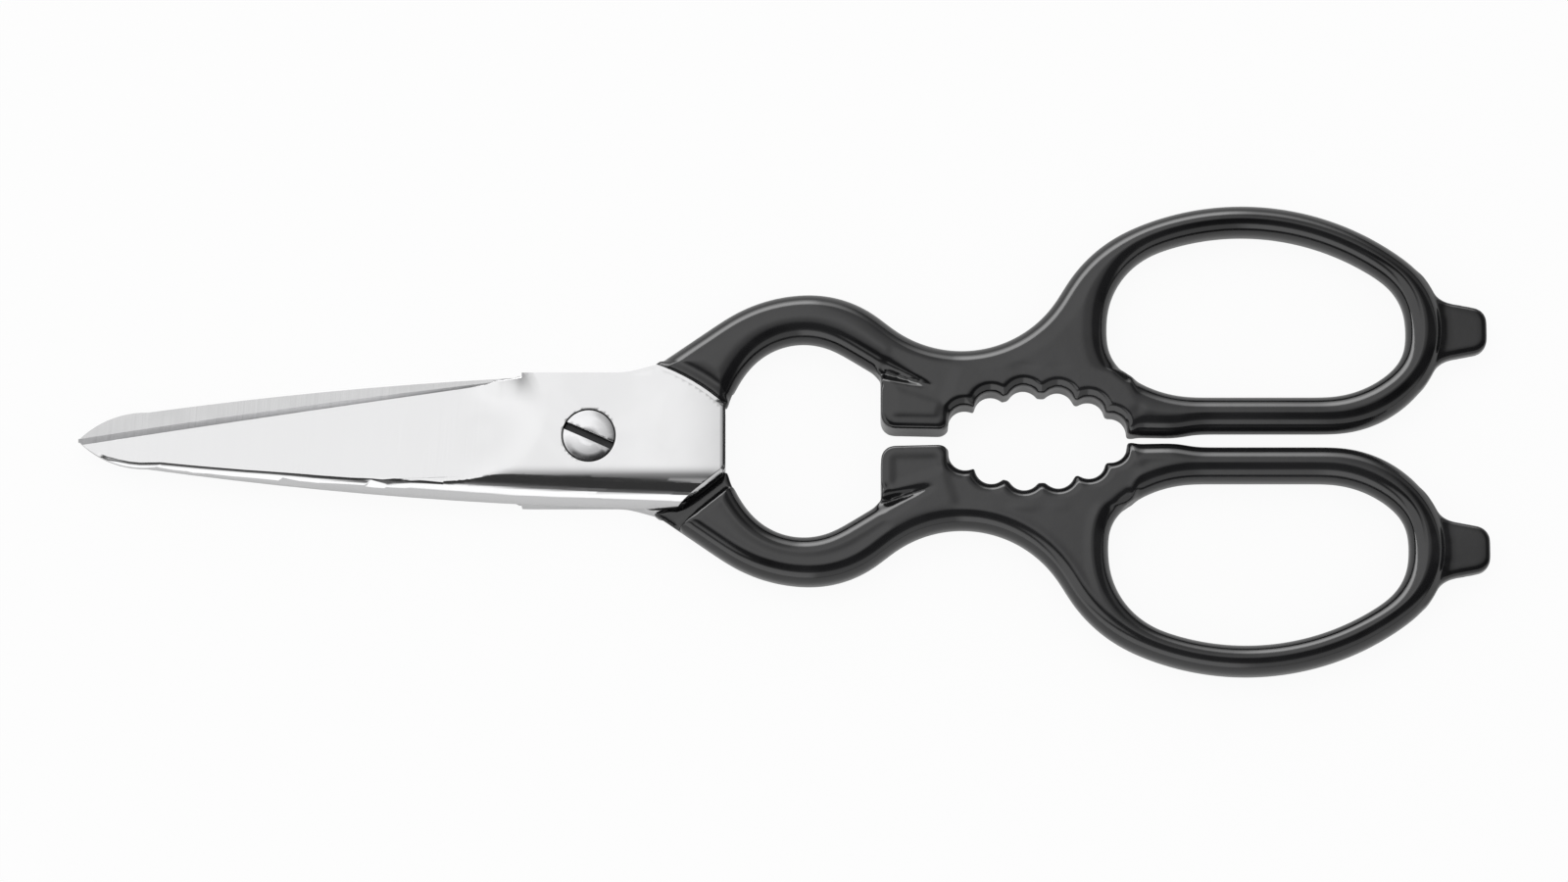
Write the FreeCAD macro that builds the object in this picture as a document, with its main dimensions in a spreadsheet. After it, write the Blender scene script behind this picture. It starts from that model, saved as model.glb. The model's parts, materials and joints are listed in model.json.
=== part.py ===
import FreeCAD, Part
import math
import os

import Sketcher

# Multi-purpose poultry shears: two forged halves that turn on one slotted screw. Each half is a bare steel blade
# with its pivot plate and, past the line where the enamel starts, an enamelled bow.
# Working frame of every body: pivot axis on Z, inner face of the blade at z = 0, tip towards -X.
# The bodies drawn are the front half's, with the blade above its inner face and the bow on the +Y side; the
# rear half is the same forging turned over about the X axis.

Vector = FreeCAD.Vector

SIZES = {
    # blade and pivot plate, seen from above
    "blade_reach": 72.4,
    "tip_edge_height": 0.25,
    "heel_reach": 9.6,
    "heel_drop": 0.1,
    "edge_bulge": 0.35,
    "edge_steps": 12,
    "spine_radius": 600.0,
    "spine_depth": 9.6,
    "spine_slope": 2.0,
    "tip_arc_radius": 22.0,
    "tip_arc_slope": 8.0,
    "plate_top": 9.1,
    "plate_end": 19.3,
    "plate_cut_start": 12.8,
    "plate_cut_depth": 10.05,
    "plate_cut_end": 4.9,
    "plate_cut_round": 1.5,
    # blade and pivot plate, across their thickness
    "plate_thickness": 3.8,
    "face_gap": 0.1,
    "dome_radius": 3.6,
    "plate_chamfer": 0.45,
    "bevel_tip_angle": 52.0,
    "bevel_heel_angle": 19.0,
    "grind_height": 3.28,
    "grind_fall_to_tip": 2.0,
    "grind_fall_to_edge": 7.0,
    "grind_end_reach": 17.0,
    "grind_end_height": 3.6,
    "grind_end_radius": 9.5,
    "grind_runout": 62.0,
    # the line where the enamel starts
    "enamel_line_radius": 28.7,
    "enamel_line_depth": 16.8,
    # bow: shank, opener loop and waist
    "bow_thickness": 6.7,
    "rim_break": 1.4,
    "bow_root": 3.0,
    "shank_reach": 4.0,
    "shank_radius": 10.0,
    "loop_reach": 31.3,
    "loop_height": 21.07,
    "loop_front_radius": 22.0,
    "loop_back_radius": 16.0,
    "waist_height": 12.85,
    "step_angle": 51.2,
    "step_reach": 18.0,
    "neck_relief": 0.3,
    # opener loop and jaw
    "opener_lap": 0.3,
    "opener_reach": 30.4,
    "opener_height": 14.15,
    "opener_radius": 9.9,
    "jaw_tip": 41.3,
    "jaw_root_height": 9.2,
    "jaw_height": 1.28,
    "jaw_corner": 1.9,
    "crease_length": 11.5,
    "crease_lead": 7.0,
    "crease_radius": 1.75,
    "crease_fall": 18.0,
    "crease_rise": 0.5,
    "crease_lift": 0.6,
    # scalloped hollow that cracks nuts and bones
    "hollow_reach": 62.9,
    "hollow_height": 6.5,
    "hollow_radius": 17.5,
    "scallop_count": 6,
    "scallop_span": 12.3,
    "scallop_height": 7.6,
    "scallop_radius": 2.35,
    "scallop_first": 28.0,
    "scallop_step": 22.8,
    "hollow_break": 1.0,
    # stop face and grip, from the crown of the ring
    "stop_height": 0.47,
    "stop_lead": 9.5,
    "stop_round": 2.0,
    "grip_height": 1.06,
    "grip_lead": 6.7,
    "grip_round": 3.0,
    "grip_tail": 12.3,
    # finger ring
    "ring_reach": 92.7,
    "ring_height": 34.0,
    "ring_tail": 28.5,
    "ring_end_height": 15.8,
    "ring_end_radius": 12.8,
    "ring_shoulder_radius": 21.0,
    "ring_shoulder_turn": 24.4,
    "crown_wall": 4.35,
    "end_wall": 5.3,
    "grip_wall": 5.09,
    "finger_lead": 19.3,
    "finger_floor_tail": 11.3,
    "finger_side_rise": 0.8,
    "finger_side_drop": 1.3,
    "finger_foot_radius": 6.0,
    "finger_break": 1.3,
    # tongue at the end of the bow
    "tongue_length": 6.2,
    "tongue_width": 7.8,
    "tongue_end_width": 6.8,
    "tongue_corner": 2.2,
    "tongue_root": 4.0,
    "tongue_root_sink": 0.1,
    "tongue_thickness": 3.0,
    "tongue_break": 0.4,
    # pivot screw
    "head_diameter": 7.3,
    "head_height": 1.7,
    "head_dome": 0.15,
    "head_gap": 0.12,
    "slot_width": 1.1,
    "slot_depth": 0.8,
    "slot_angle": -24.0,
    "shank_diameter": 5.2,
    "shank_fit": 0.04,
    "end_play": 0.05,
    "thread_diameter": 4.4,
    "thread_recess": 0.1,
}

document = FreeCAD.newDocument("poultry_shears")
sheet = document.addObject("Spreadsheet::Sheet", "sizes")
for row, (alias, value) in enumerate(SIZES.items(), start=1):
    sheet.set(f"A{row}", alias)
    sheet.set(f"B{row}", str(value))
    sheet.setAlias(f"B{row}", alias)
document.recompute()


def size(name):
    return float(sheet.get(name))


def cell(name):
    return f"<<sizes>>.{name}"


# ---------------------------------------------------------------- outlines of tangent circles


TOUCHING = 1e-4


def polar(centre, radius, degrees):
    angle = math.radians(degrees)
    return (centre[0] + radius * math.cos(angle), centre[1] + radius * math.sin(angle))


def crown_radius(long, high, end_radius):
    """Radius of the flat arc that joins an end arc in a quarter of an oval, long by high."""
    return (long**2 + high**2 - 2 * long * end_radius) / (2 * (high - end_radius))


def end_radius(long, high, crown):
    """Radius of the end arc that joins a flat arc in a quarter of an oval, long by high."""
    return (2 * high * crown - long**2 - high**2) / (2 * (crown - long))


def tangent_line(first, second):
    """Ends of the line that leaves the first circle and meets the second. A circle is (x, y, signed radius):
    positive for a left turn, negative for a right turn, 0 for a corner. Circles that touch share one point."""
    dx, dy = second[0] - first[0], second[1] - first[1]
    growth = second[2] - first[2]
    if dx**2 + dy**2 - growth**2 < TOUCHING**2:
        share = first[2] / (first[2] - second[2])
        point = (first[0] + share * dx, first[1] + share * dy)
        return point, point
    across = math.atan2(dy, dx) + math.acos(growth / math.hypot(dx, dy))
    nx, ny = math.cos(across), math.sin(across)
    leave = (first[0] - first[2] * nx, first[1] - first[2] * ny)
    meet = (second[0] - second[2] * nx, second[1] - second[2] * ny)
    return leave, meet


def outline(circles):
    """Closed outline that runs round the circles in turn, with the material on its left."""
    joints = [tangent_line(first, second) for first, second in zip(circles, circles[1:] + circles[:1])]
    pieces = []
    for (x, y, radius), (_, start), (end, beyond) in zip(circles, joints[-1:] + joints[:-1], joints):
        if math.dist(start, end) > TOUCHING:
            turn_start = math.atan2(start[1] - y, start[0] - x)
            turn_end = math.atan2(end[1] - y, end[0] - x)
            turn = (turn_end - turn_start) % (2 * math.pi)
            if radius < 0:
                turn -= 2 * math.pi
            middle = polar((x, y), abs(radius), math.degrees(turn_start + turn / 2))
            pieces.append(Part.Arc(Vector(*start), Vector(*middle), Vector(*end)))
        if end != beyond:
            pieces.append(Part.LineSegment(Vector(*end), Vector(*beyond)))
    return pieces


def polygon(*corners):
    return [
        Part.LineSegment(Vector(*corner), Vector(*corners[(i + 1) % len(corners)]))
        for i, corner in enumerate(corners)
    ]


# ---------------------------------------------------------------- features of a body


def add_body(name):
    return document.addObject("PartDesign::Body", name)


def origin_plane(body, role):
    return next(feature for feature in body.Origin.OriginFeatures if feature.Role == role)


def add_sketch(body, name, pieces, plane="XY_Plane", offset=None):
    sketch = body.newObject("Sketcher::SketchObject", f"{body.Name}_{name}")
    sketch.AttachmentSupport = [(origin_plane(body, plane), "")]
    sketch.MapMode = "FlatFace"
    if offset is not None:
        sketch.AttachmentOffset = offset
    sketch.addGeometry(pieces, False)
    sketch.addConstraint([Sketcher.Constraint("Block", index) for index in range(len(pieces))])
    return sketch


def add_feature(body, kind, name, sketch, **settings):
    feature = body.newObject(f"PartDesign::{kind}", f"{body.Name}_{name}")
    feature.Profile = sketch
    for key, value in settings.items():
        setattr(feature, key, value)
    sketch.Visibility = False
    return feature


def dress_edges(body, kind, name, picked, **sizes):
    """Fillet or chamfer the edges that picked accepts, with the sizes tied to cells."""
    document.recompute()
    base = body.Tip
    names = [f"Edge{i}" for i, edge in enumerate(base.Shape.Edges, start=1) if picked(edge)]
    feature = body.newObject(f"PartDesign::{kind}", f"{body.Name}_{name}")
    feature.Base = (base, names)
    for key, expression in sizes.items():
        feature.setExpression(key, expression)
    return feature


def on_level(edge, height):
    """Whether the edge lies level at that height."""
    return abs(edge.BoundBox.ZMin - height) < TOUCHING and abs(edge.BoundBox.ZMax - height) < TOUCHING


def on_faces(edge, half):
    """Whether the edge lies in one of the two flat faces of a body that is twice half thick."""
    return on_level(edge, half) or on_level(edge, -half)


# ---------------------------------------------------------------- blade with its pivot plate


def spine_circle():
    slope = math.radians(size("spine_slope"))
    radius = size("spine_radius")
    return (radius * math.sin(slope), radius * math.cos(slope) - size("spine_depth"), radius)


def tip_circle():
    centre_x, centre_y, radius = spine_circle()
    slope = math.radians(size("tip_arc_slope"))
    inner = radius - size("tip_arc_radius")
    return (centre_x - inner * math.sin(slope), centre_y - inner * math.cos(slope), size("tip_arc_radius"))


def shank_circle():
    return (size("shank_reach"), size("plate_top") + size("shank_radius"), -size("shank_radius"))


def blank_outline():
    """Forged blank before its edge is cut: spine along -Y, cut corner, plate end and top flank."""
    past_tip = -size("blade_reach") - size("plate_thickness")
    cut_round = size("plate_cut_round")
    return outline(
        [
            (past_tip, size("plate_top"), 0.0),
            tip_circle(),
            spine_circle(),
            (size("plate_cut_start"), -size("plate_cut_depth"), 0.0),
            (size("plate_end") - cut_round, cut_round / 2 - size("plate_cut_end"), cut_round),
            (size("plate_end"), size("plate_top") + size("plate_thickness"), 0.0),
            shank_circle(),
        ]
    )


def bevel_line(level):
    """Points from tip to heel where the bevel has risen to a level above the inner face."""
    tip_x, tip_y = -size("blade_reach"), size("tip_edge_height")
    heel_x, heel_y = -size("heel_reach"), size("plate_top") - size("heel_drop")
    length = math.dist((tip_x, tip_y), (heel_x, heel_y))
    across_x, across_y = (tip_y - heel_y) / length, (heel_x - tip_x) / length
    tip_lean, heel_lean = (level * math.tan(math.radians(size(end))) for end in ("bevel_tip_angle", "bevel_heel_angle"))
    steps = int(size("edge_steps"))
    for step in range(steps + 1):
        share = step / steps
        out = 4 * share * (1 - share) * size("edge_bulge") - (1 - share) * tip_lean - share * heel_lean
        yield (
            tip_x + share * (heel_x - tip_x) + out * across_x,
            tip_y + share * (heel_y - tip_y) + out * across_y,
        )


def edge_waste_outline(level):
    """All that lies outside the bevel at a level above the inner face, from the heel round past the tip."""
    edge = list(bevel_line(level))
    tip, heel = edge[0], edge[-1]
    far = 2 * size("plate_thickness")
    low = -size("spine_depth") - far
    high = size("plate_top") + far
    left = tip[0] - far
    return polygon(*edge, (heel[0], high), (left, high), (left, low), (tip[0], low))


def enamel_line():
    """Arc across the root of the bow, with room past it on both sides."""
    radius, depth = size("enamel_line_radius"), size("enamel_line_depth")
    start = math.degrees(math.asin((size("plate_cut_end") + depth) / radius)) / 2
    return (0.0, -depth), radius, start, 90.0


def enamel_waste_outline():
    """Plate metal that lies past the line where the enamel starts."""
    centre, radius, start, end = enamel_line()
    first, last = polar(centre, radius, end), polar(centre, radius, start)
    middle = polar(centre, radius, (start + end) / 2)
    top = size("loop_height") + size("shank_radius")
    far = last[0] + size("shank_radius")
    corners = [last, (far, last[1]), (far, top), (first[0], top), first]
    lines = [Part.LineSegment(Vector(*start), Vector(*end)) for start, end in zip(corners, corners[1:])]
    return lines + [Part.Arc(Vector(*first), Vector(*middle), Vector(*last))]


def grind_waste_outline():
    """Ground area of the outer face, open past the tip and both long sides, with a round end near the pivot."""
    radius = size("grind_end_radius")
    far = 2 * size("blade_reach")
    return outline(
        [
            (-far, -radius, 0.0),
            (-size("grind_end_reach"), size("grind_end_height"), radius),
            (-far, far / 2, 0.0),
        ]
    )


def grind_placement():
    """The ground face falls towards the tip and towards the cutting edge."""
    rotation = FreeCAD.Rotation(Vector(0, 1, 0), -size("grind_fall_to_tip"))
    rotation = rotation.multiply(FreeCAD.Rotation(Vector(1, 0, 0), -size("grind_fall_to_edge")))
    return FreeCAD.Placement(Vector(0, 0, size("grind_height")), rotation)


def build_blade():
    body = add_body("blade")
    top = size("plate_thickness")

    sketch = add_sketch(body, "blank_outline", blank_outline())
    blank = add_feature(body, "Pad", "blank", sketch)
    blank.setExpression("Length", cell("plate_thickness"))

    dress_edges(
        body,
        "Fillet",
        "spine_dome",
        lambda edge: on_level(edge, top) and edge.BoundBox.YMax < size("plate_top") / 2
        and edge.BoundBox.XMin < 0 and edge.BoundBox.YMin < 0,
        Radius=cell("dome_radius"),
    )

    sketch = add_sketch(body, "enamel_waste_outline", enamel_waste_outline())
    waste = add_feature(body, "Pocket", "enamel_waste", sketch, Reversed=True)
    waste.setExpression("Length", f"2 * {cell('plate_thickness')}")

    dress_edges(
        body,
        "Chamfer",
        "plate_chamfer",
        lambda edge: on_level(edge, top) and edge.BoundBox.XMin > size("shank_reach") - 1e-3
        and edge.BoundBox.YMax < size("enamel_line_radius"),
        Size=cell("plate_chamfer"),
    )

    lower = add_sketch(body, "edge_waste", edge_waste_outline(0.0))
    lift = FreeCAD.Placement(Vector(0, 0, top), FreeCAD.Rotation())
    upper = add_sketch(body, "bevel_waste", edge_waste_outline(top), offset=lift)
    add_feature(body, "SubtractiveLoft", "edge_bevel", lower, Sections=[upper], Ruled=True)

    sketch = add_sketch(body, "grind_outline", grind_waste_outline(), offset=grind_placement())
    grind = add_feature(body, "Pocket", "ground_face", sketch, Reversed=True)
    grind.setExpression("Length", f"2 * {cell('plate_thickness')}")

    runout = body.newObject("PartDesign::SubtractiveCone", "blade_grind_runout")
    centre = Vector(-size("grind_end_reach"), size("grind_end_height"), 0)
    runout.Placement = grind_placement().multiply(FreeCAD.Placement(centre, FreeCAD.Rotation()))
    runout.setExpression("Radius1", cell("grind_end_radius"))
    runout.setExpression(
        "Radius2",
        f"{cell('grind_end_radius')} + {cell('plate_thickness')} * tan({cell('grind_runout')} * 1 deg)",
    )
    runout.setExpression("Height", cell("plate_thickness"))
    document.recompute()
    return body


# ---------------------------------------------------------------- bow


def ring_circles():
    """Outer circles of the finger ring: floor, end, crown and shoulder."""
    crown_x, end_x, end_y = size("ring_reach"), ring_end(), size("ring_end_height")
    radius = size("ring_end_radius")
    floor_x = crown_x + size("grip_tail")
    floor = crown_radius(end_x - floor_x, end_y - size("grip_height"), radius)
    crown = crown_radius(end_x - crown_x, size("ring_height") - end_y, radius)
    shoulder = size("ring_shoulder_radius")
    crown_centre = (crown_x, size("ring_height") - crown)
    shoulder_centre = polar(crown_centre, crown - shoulder, 90 + size("ring_shoulder_turn"))
    return [
        (floor_x, size("grip_height") + floor, floor),
        (end_x - radius, end_y, radius),
        (*crown_centre, crown),
        (*shoulder_centre, shoulder),
    ]


def ring_end():
    return size("ring_reach") + size("ring_tail")


def loop_circles():
    """Outer circles of the opener loop, from its back to its front."""
    reach, height = size("loop_reach"), size("loop_height")
    back, front = size("loop_back_radius"), size("loop_front_radius")
    return [(reach, height - back, back), (reach, height - front, front)]


def waist_circle(loop, shoulder):
    """Hollow circle that touches the loop and the shoulder and has its lowest point at the waist's height."""
    floor = size("waist_height")
    (loop_x, loop_y, loop_radius), (shoulder_x, shoulder_y, shoulder_radius) = loop, shoulder
    loop_rise, shoulder_rise = floor - loop_y, floor - shoulder_y
    loop_share, shoulder_share = loop_radius - loop_rise, shoulder_radius - shoulder_rise
    steepness = shoulder_share / loop_share
    span = shoulder_x - loop_x
    offset = shoulder_share * (shoulder_radius + shoulder_rise - loop_radius - loop_rise)
    square, linear, constant = steepness - 1, 2 * span, offset - span**2
    reach = 2 * -constant / (linear + math.sqrt(linear**2 - 4 * square * constant))
    radius = (reach**2 / loop_share - loop_radius - loop_rise) / 2
    return (loop_x + reach, floor + radius, -radius)


def opener_front():
    return size("plate_end") - size("opener_lap")


def bow_outline():
    """Shank, opener loop, jaw, stop, grip, finger ring and waist, starting from the buried root."""
    opener = size("opener_radius")
    opener_base = size("opener_height")
    opener_side = crown_radius(opener_base, size("opener_reach") - opener_front(), opener)
    corner, stop, grip = size("jaw_corner"), size("stop_round"), size("grip_round")
    ring = ring_circles()
    loop_back, loop_front = loop_circles()
    return outline(
        [
            (size("bow_root"), 0.0, 0.0),
            (opener_front(), 0.0, 0.0),
            (opener_front() + opener_side, 0.0, -opener_side),
            (size("opener_reach"), opener_base - opener, -opener),
            (size("jaw_tip"), size("jaw_root_height"), 0.0),
            (size("jaw_tip") + corner, size("jaw_height") + corner, corner),
            (size("ring_reach") - size("stop_lead"), size("stop_height") + stop, stop),
            (size("ring_reach") - size("grip_lead"), size("grip_height") - grip, -grip),
            *ring,
            waist_circle(loop_back, ring[-1]),
            loop_back,
            loop_front,
            shank_circle(),
            (size("bow_root"), size("plate_top"), 0.0),
        ]
    )


def finger_box():
    """Front, end, floor and roof of the finger hole."""
    front, end = size("ring_reach") - size("finger_lead"), ring_end() - size("end_wall")
    return front, end, size("grip_height") + size("grip_wall"), size("ring_height") - size("crown_wall")


def finger_outline():
    """Finger hole: flat floor, round foot at both ends and an oval roof that keeps the crown's wall even."""
    front, end, floor, roof = finger_box()
    _, _, (crown_x, crown_y, _), _ = ring_circles()
    foot_radius, crown = size("finger_foot_radius"), roof - crown_y
    side = size("ring_end_height") + size("finger_side_rise")
    foot = size("ring_end_height") - size("finger_side_drop")
    floor_start, floor_end = crown_x - size("grip_lead"), crown_x + size("finger_floor_tail")
    front_foot = crown_radius(floor_start - front, foot - floor, foot_radius)
    end_foot = crown_radius(end - floor_end, foot - floor, foot_radius)
    front_side = end_radius(crown_x - front, roof - side, crown)
    end_side = end_radius(end - crown_x, roof - side, crown)
    return outline(
        [
            (floor_start, floor + front_foot, front_foot),
            (floor_end, floor + end_foot, end_foot),
            (end - foot_radius, foot, foot_radius),
            (end - end_side, side, end_side),
            (crown_x, crown_y, crown),
            (front + front_side, side, front_side),
            (front + foot_radius, foot, foot_radius),
        ]
    )


def tongue_outline():
    """Flat tongue past the end of the ring, with a wide concave root on both sides."""
    _, (ring_x, ring_y, ring), _, _ = ring_circles()
    root, corner = size("tongue_root"), size("tongue_corner")
    rise, end_half = size("tongue_width") / 2 + root, size("tongue_end_width") / 2
    apart = ring + root - size("tongue_root_sink")
    reach = math.sqrt(apart**2 - rise**2)
    share = 1 - (root + TOUCHING) / apart
    end = ring_end() + size("tongue_length")
    return outline(
        [
            (ring_x, ring_y, 0.0),
            (ring_x + share * reach, ring_y - share * rise, 0.0),
            (ring_x + reach, ring_y - rise, -root),
            (end - corner, ring_y - end_half + corner, corner),
            (end - corner, ring_y + end_half - corner, corner),
            (ring_x + reach, ring_y + rise, -root),
            (ring_x + share * reach, ring_y + share * rise, 0.0),
        ]
    )


def neck_outline():
    """Everything on the pivot side of the step, where the bow passes over the other half's plate."""
    angle, side = size("step_angle"), 2 * size("loop_height")
    foot = polar((0.0, 0.0), size("step_reach"), angle)
    near, far = polar(foot, side, angle + 90), polar(foot, side, angle - 90)
    return polygon(near, polar(near, side, angle + 180), polar(far, side, angle + 180), far)


def scallop_centres():
    radius = size("scallop_radius")
    for index in range(int(size("scallop_count"))):
        angle = math.radians(size("scallop_first") + index * size("scallop_step"))
        x = size("hollow_reach") + size("scallop_span") * math.cos(angle)
        y = size("scallop_height") * math.sin(angle) - radius
        yield x, y


def cut_spool(body, name, centre, radius):
    """Turn a round cut through the bow at centre, with both of its ends opened out to break the edges."""
    half, flare = size("bow_thickness") / 2, size("hollow_break")
    profile = polygon(
        (0, half + flare),
        (0, -half - flare),
        (radius + flare, -half - flare),
        (radius + flare, -half),
        (radius, flare - half),
        (radius, half - flare),
        (radius + flare, half),
        (radius + flare, half + flare),
    )
    offset = FreeCAD.Placement(Vector(centre[0], 0, -centre[1]), FreeCAD.Rotation())
    sketch = add_sketch(body, f"{name}_profile", profile, "XZ_Plane", offset)
    return add_feature(body, "Groove", name, sketch, ReferenceAxis=(sketch, ["V_Axis"]), Angle=360.0)


def cut_crease(body, name, fall, length, axis_level):
    """Cut one half of a long dent that is deepest at the jaw's corner and fades out at its end."""
    crease = body.newObject("PartDesign::SubtractiveCone", f"{body.Name}_{name}")
    start = Vector(size("jaw_tip"), size("jaw_root_height") + size("crease_rise"), axis_level)
    along = Vector(math.cos(math.radians(fall)), -math.sin(math.radians(fall)), 0)
    crease.Placement = FreeCAD.Placement(start, FreeCAD.Rotation(Vector(0, 0, 1), along))
    crease.setExpression("Radius1", cell("crease_radius"))
    crease.setExpression("Radius2", "0")
    crease.setExpression("Height", cell(length))
    return crease


def build_bow():
    body = add_body("bow")
    half = size("bow_thickness") / 2

    sketch = add_sketch(body, "outline", bow_outline())
    pad = add_feature(body, "Pad", "forged_bow", sketch, Midplane=True)
    pad.setExpression("Length", cell("bow_thickness"))

    sketch = add_sketch(body, "tongue_outline", tongue_outline())
    tongue = add_feature(body, "Pad", "tongue", sketch, Midplane=True)
    tongue.setExpression("Length", cell("tongue_thickness"))

    sketch = add_sketch(body, "finger_outline", finger_outline())
    hole = add_feature(body, "Pocket", "finger_hole", sketch, Midplane=True)
    hole.setExpression("Length", f"2 * {cell('bow_thickness')}")

    relief = FreeCAD.Placement(Vector(0, 0, size("neck_relief")), FreeCAD.Rotation())
    sketch = add_sketch(body, "neck_outline", neck_outline(), offset=relief)
    neck = add_feature(body, "Pocket", "neck", sketch)
    neck.setExpression("Length", cell("bow_thickness"))

    def on_finger_hole(edge):
        front, end, floor, roof = finger_box()
        box = edge.BoundBox
        along = front - TOUCHING < box.XMin and box.XMax < end + TOUCHING
        across = floor - TOUCHING < box.YMin and box.YMax < roof + TOUCHING
        return on_faces(edge, half) and along and across

    def on_step(edge):
        angle = math.radians(size("step_angle"))
        middle = edge.BoundBox.Center
        along = middle.x * math.cos(angle) + middle.y * math.sin(angle)
        return abs(along - size("step_reach")) < TOUCHING

    def on_rim(edge):
        box = edge.BoundBox
        buried = box.XMax < opener_front() and box.YMax < size("plate_top") + TOUCHING
        return on_faces(edge, half) and not (on_finger_hole(edge) or on_step(edge) or buried)

    dress_edges(body, "Chamfer", "rim_edges", on_rim, Size=cell("rim_break"))
    dress_edges(body, "Chamfer", "finger_edges", on_finger_hole, Size=cell("finger_break"))

    hollow_centre = (size("hollow_reach"), size("hollow_height") - size("hollow_radius"))
    cut_spool(body, "hollow", hollow_centre, size("hollow_radius"))
    for number, centre in enumerate(scallop_centres(), start=1):
        cut_spool(body, f"scallop_{number}", centre, size("scallop_radius"))

    for side, level in (("upper", half + size("crease_lift")), ("lower", -half - size("crease_lift"))):
        cut_crease(body, f"{side}_crease", size("crease_fall"), "crease_length", level)
        cut_crease(body, f"{side}_crease_lead", 180 + size("crease_fall"), "crease_lead", level)

    def on_tongue(edge):
        past_ring = edge.BoundBox.XMax > ring_end() + TOUCHING
        return on_faces(edge, size("tongue_thickness") / 2) and past_ring

    dress_edges(body, "Chamfer", "tongue_edges", on_tongue, Size=cell("tongue_break"))

    centre, radius, *_ = enamel_line()
    bare = Part.Circle(Vector(*centre, 0), Vector(0, 0, 1), radius)
    sketch = add_sketch(body, "bare_outline", [bare])
    root = add_feature(body, "Pocket", "bare_root", sketch, Midplane=True)
    root.setExpression("Length", f"2 * {cell('bow_thickness')}")
    return body


# ---------------------------------------------------------------- screw


def head_level():
    """Height of the head's rim above the middle of the closed joint: flush with the front plate."""
    return size("plate_thickness") + size("face_gap") / 2


def screw_profile():
    """Half section of the shoulder screw about its axis, from the domed head down to the threaded end."""
    head, shank, thread = (size(name) / 2 for name in ("head_diameter", "shank_diameter", "thread_diameter"))
    top, dome = head_level(), size("head_dome")
    under = top - size("head_height")
    shoulder = -size("face_gap") / 2
    foot = size("thread_recess") - top
    sphere = (head**2 + dome**2) / (2 * dome)
    bend = polar((0.0, top + dome - sphere), sphere, 90 - math.degrees(math.asin(head / sphere)) / 2)
    corners = [(head, top), (head, under), (shank, under), (shank, shoulder), (thread, shoulder),
               (thread, foot), (0, foot), (0, top + dome)]
    lines = [Part.LineSegment(Vector(*start), Vector(*end)) for start, end in zip(corners, corners[1:])]
    return lines + [Part.Arc(Vector(0, top + dome), Vector(*bend), Vector(head, top))]


def build_screw():
    body = add_body("pivot_screw")
    sketch = add_sketch(body, "profile", screw_profile(), "XZ_Plane")
    add_feature(body, "Revolution", "turned", sketch, ReferenceAxis=(sketch, ["V_Axis"]), Angle=360.0)

    reach, width = size("head_diameter"), size("slot_width") / 2
    floor = Vector(0, 0, head_level() - size("slot_depth"))
    turned = FreeCAD.Placement(floor, FreeCAD.Rotation(Vector(0, 0, 1), size("slot_angle")))
    slot = polygon((-reach, -width), (reach, -width), (reach, width), (-reach, width))
    sketch = add_sketch(body, "slot_outline", slot, offset=turned)
    cut = add_feature(body, "Pocket", "slot", sketch, Reversed=True)
    cut.setExpression("Length", f"{cell('slot_depth')} + 2 * {cell('head_dome')}")
    return body


def add_bore(name, radius, start):
    """Cylinder about the pivot axis that cuts upwards from start, clear through the plate."""
    bore = document.addObject("Part::Cylinder", name)
    bore.setExpression("Radius", radius)
    bore.setExpression("Height", f"2 * {cell('plate_thickness')}")
    bore.setExpression("Placement.Base.z", start)
    return bore


def add_cut(name, base, *tools):
    cut = document.addObject("Part::Cut", name)
    cut.Base = base
    cut.Tool = tools[0]
    if len(tools) > 1:
        cut.Tool = document.addObject("Part::MultiFuse", f"{name}_tools")
        cut.Tool.Shapes = list(tools)
    return cut


def add_copy(name, body):
    copy = document.addObject("Part::Compound", name)
    copy.Links = [body]
    return copy


# ---------------------------------------------------------------- the five pieces


def place(piece, gap_side, turned_over=False):
    """Stand a piece in the object's frame, over the origin; gap_side is its share of the gap between the faces."""
    piece.Label = piece.Name
    piece.Placement.Rotation = FreeCAD.Rotation(Vector(1, 0, 0), 180.0 if turned_over else 0.0)
    bow_reach = f"{cell('ring_reach')} + {cell('ring_tail')} + {cell('tongue_length')}"
    piece.setExpression("Placement.Base.x", f"({cell('blade_reach')} - ({bow_reach})) / 2")
    lift = f"{cell('plate_thickness')} + (1 + {gap_side}) * {cell('face_gap')} / 2"
    piece.setExpression("Placement.Base.z", lift)
    return piece


blade = build_blade()
bow = build_bow()

below = f"-{cell('plate_thickness')} / 2"
head_seat = f"{cell('plate_thickness')} - {cell('head_height')} - {cell('end_play')}"
pivot_bore = add_bore("pivot_bore", f"{cell('shank_diameter')} / 2 + {cell('shank_fit')}", below)
head_bore = add_bore("head_bore", f"{cell('head_diameter')} / 2 + {cell('head_gap')}", head_seat)
thread_bore = add_bore("thread_bore", f"{cell('thread_diameter')} / 2", below)

pieces = [
    place(add_cut("front_blade", blade, pivot_bore, head_bore), 1),
    place(add_copy("front_bow", bow), 1),
    place(add_cut("rear_blade", blade, thread_bore), -1, turned_over=True),
    place(add_copy("rear_bow", bow), -1, turned_over=True),
    place(build_screw(), 0),
]

document.recompute()
for item in document.Objects:
    if "Invalid" in item.State or "Error" in item.State:
        raise RuntimeError(f"{item.Name} failed: {item.getStatusString()}")
for piece in pieces:
    if piece.Shape.isNull() or not piece.Shape.isValid():
        raise RuntimeError(f"{piece.Label} has no valid shape")

os.makedirs("parts", exist_ok=True)
for piece in pieces:
    piece.Shape.exportStep(f"parts/{piece.Label}.step")
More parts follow.
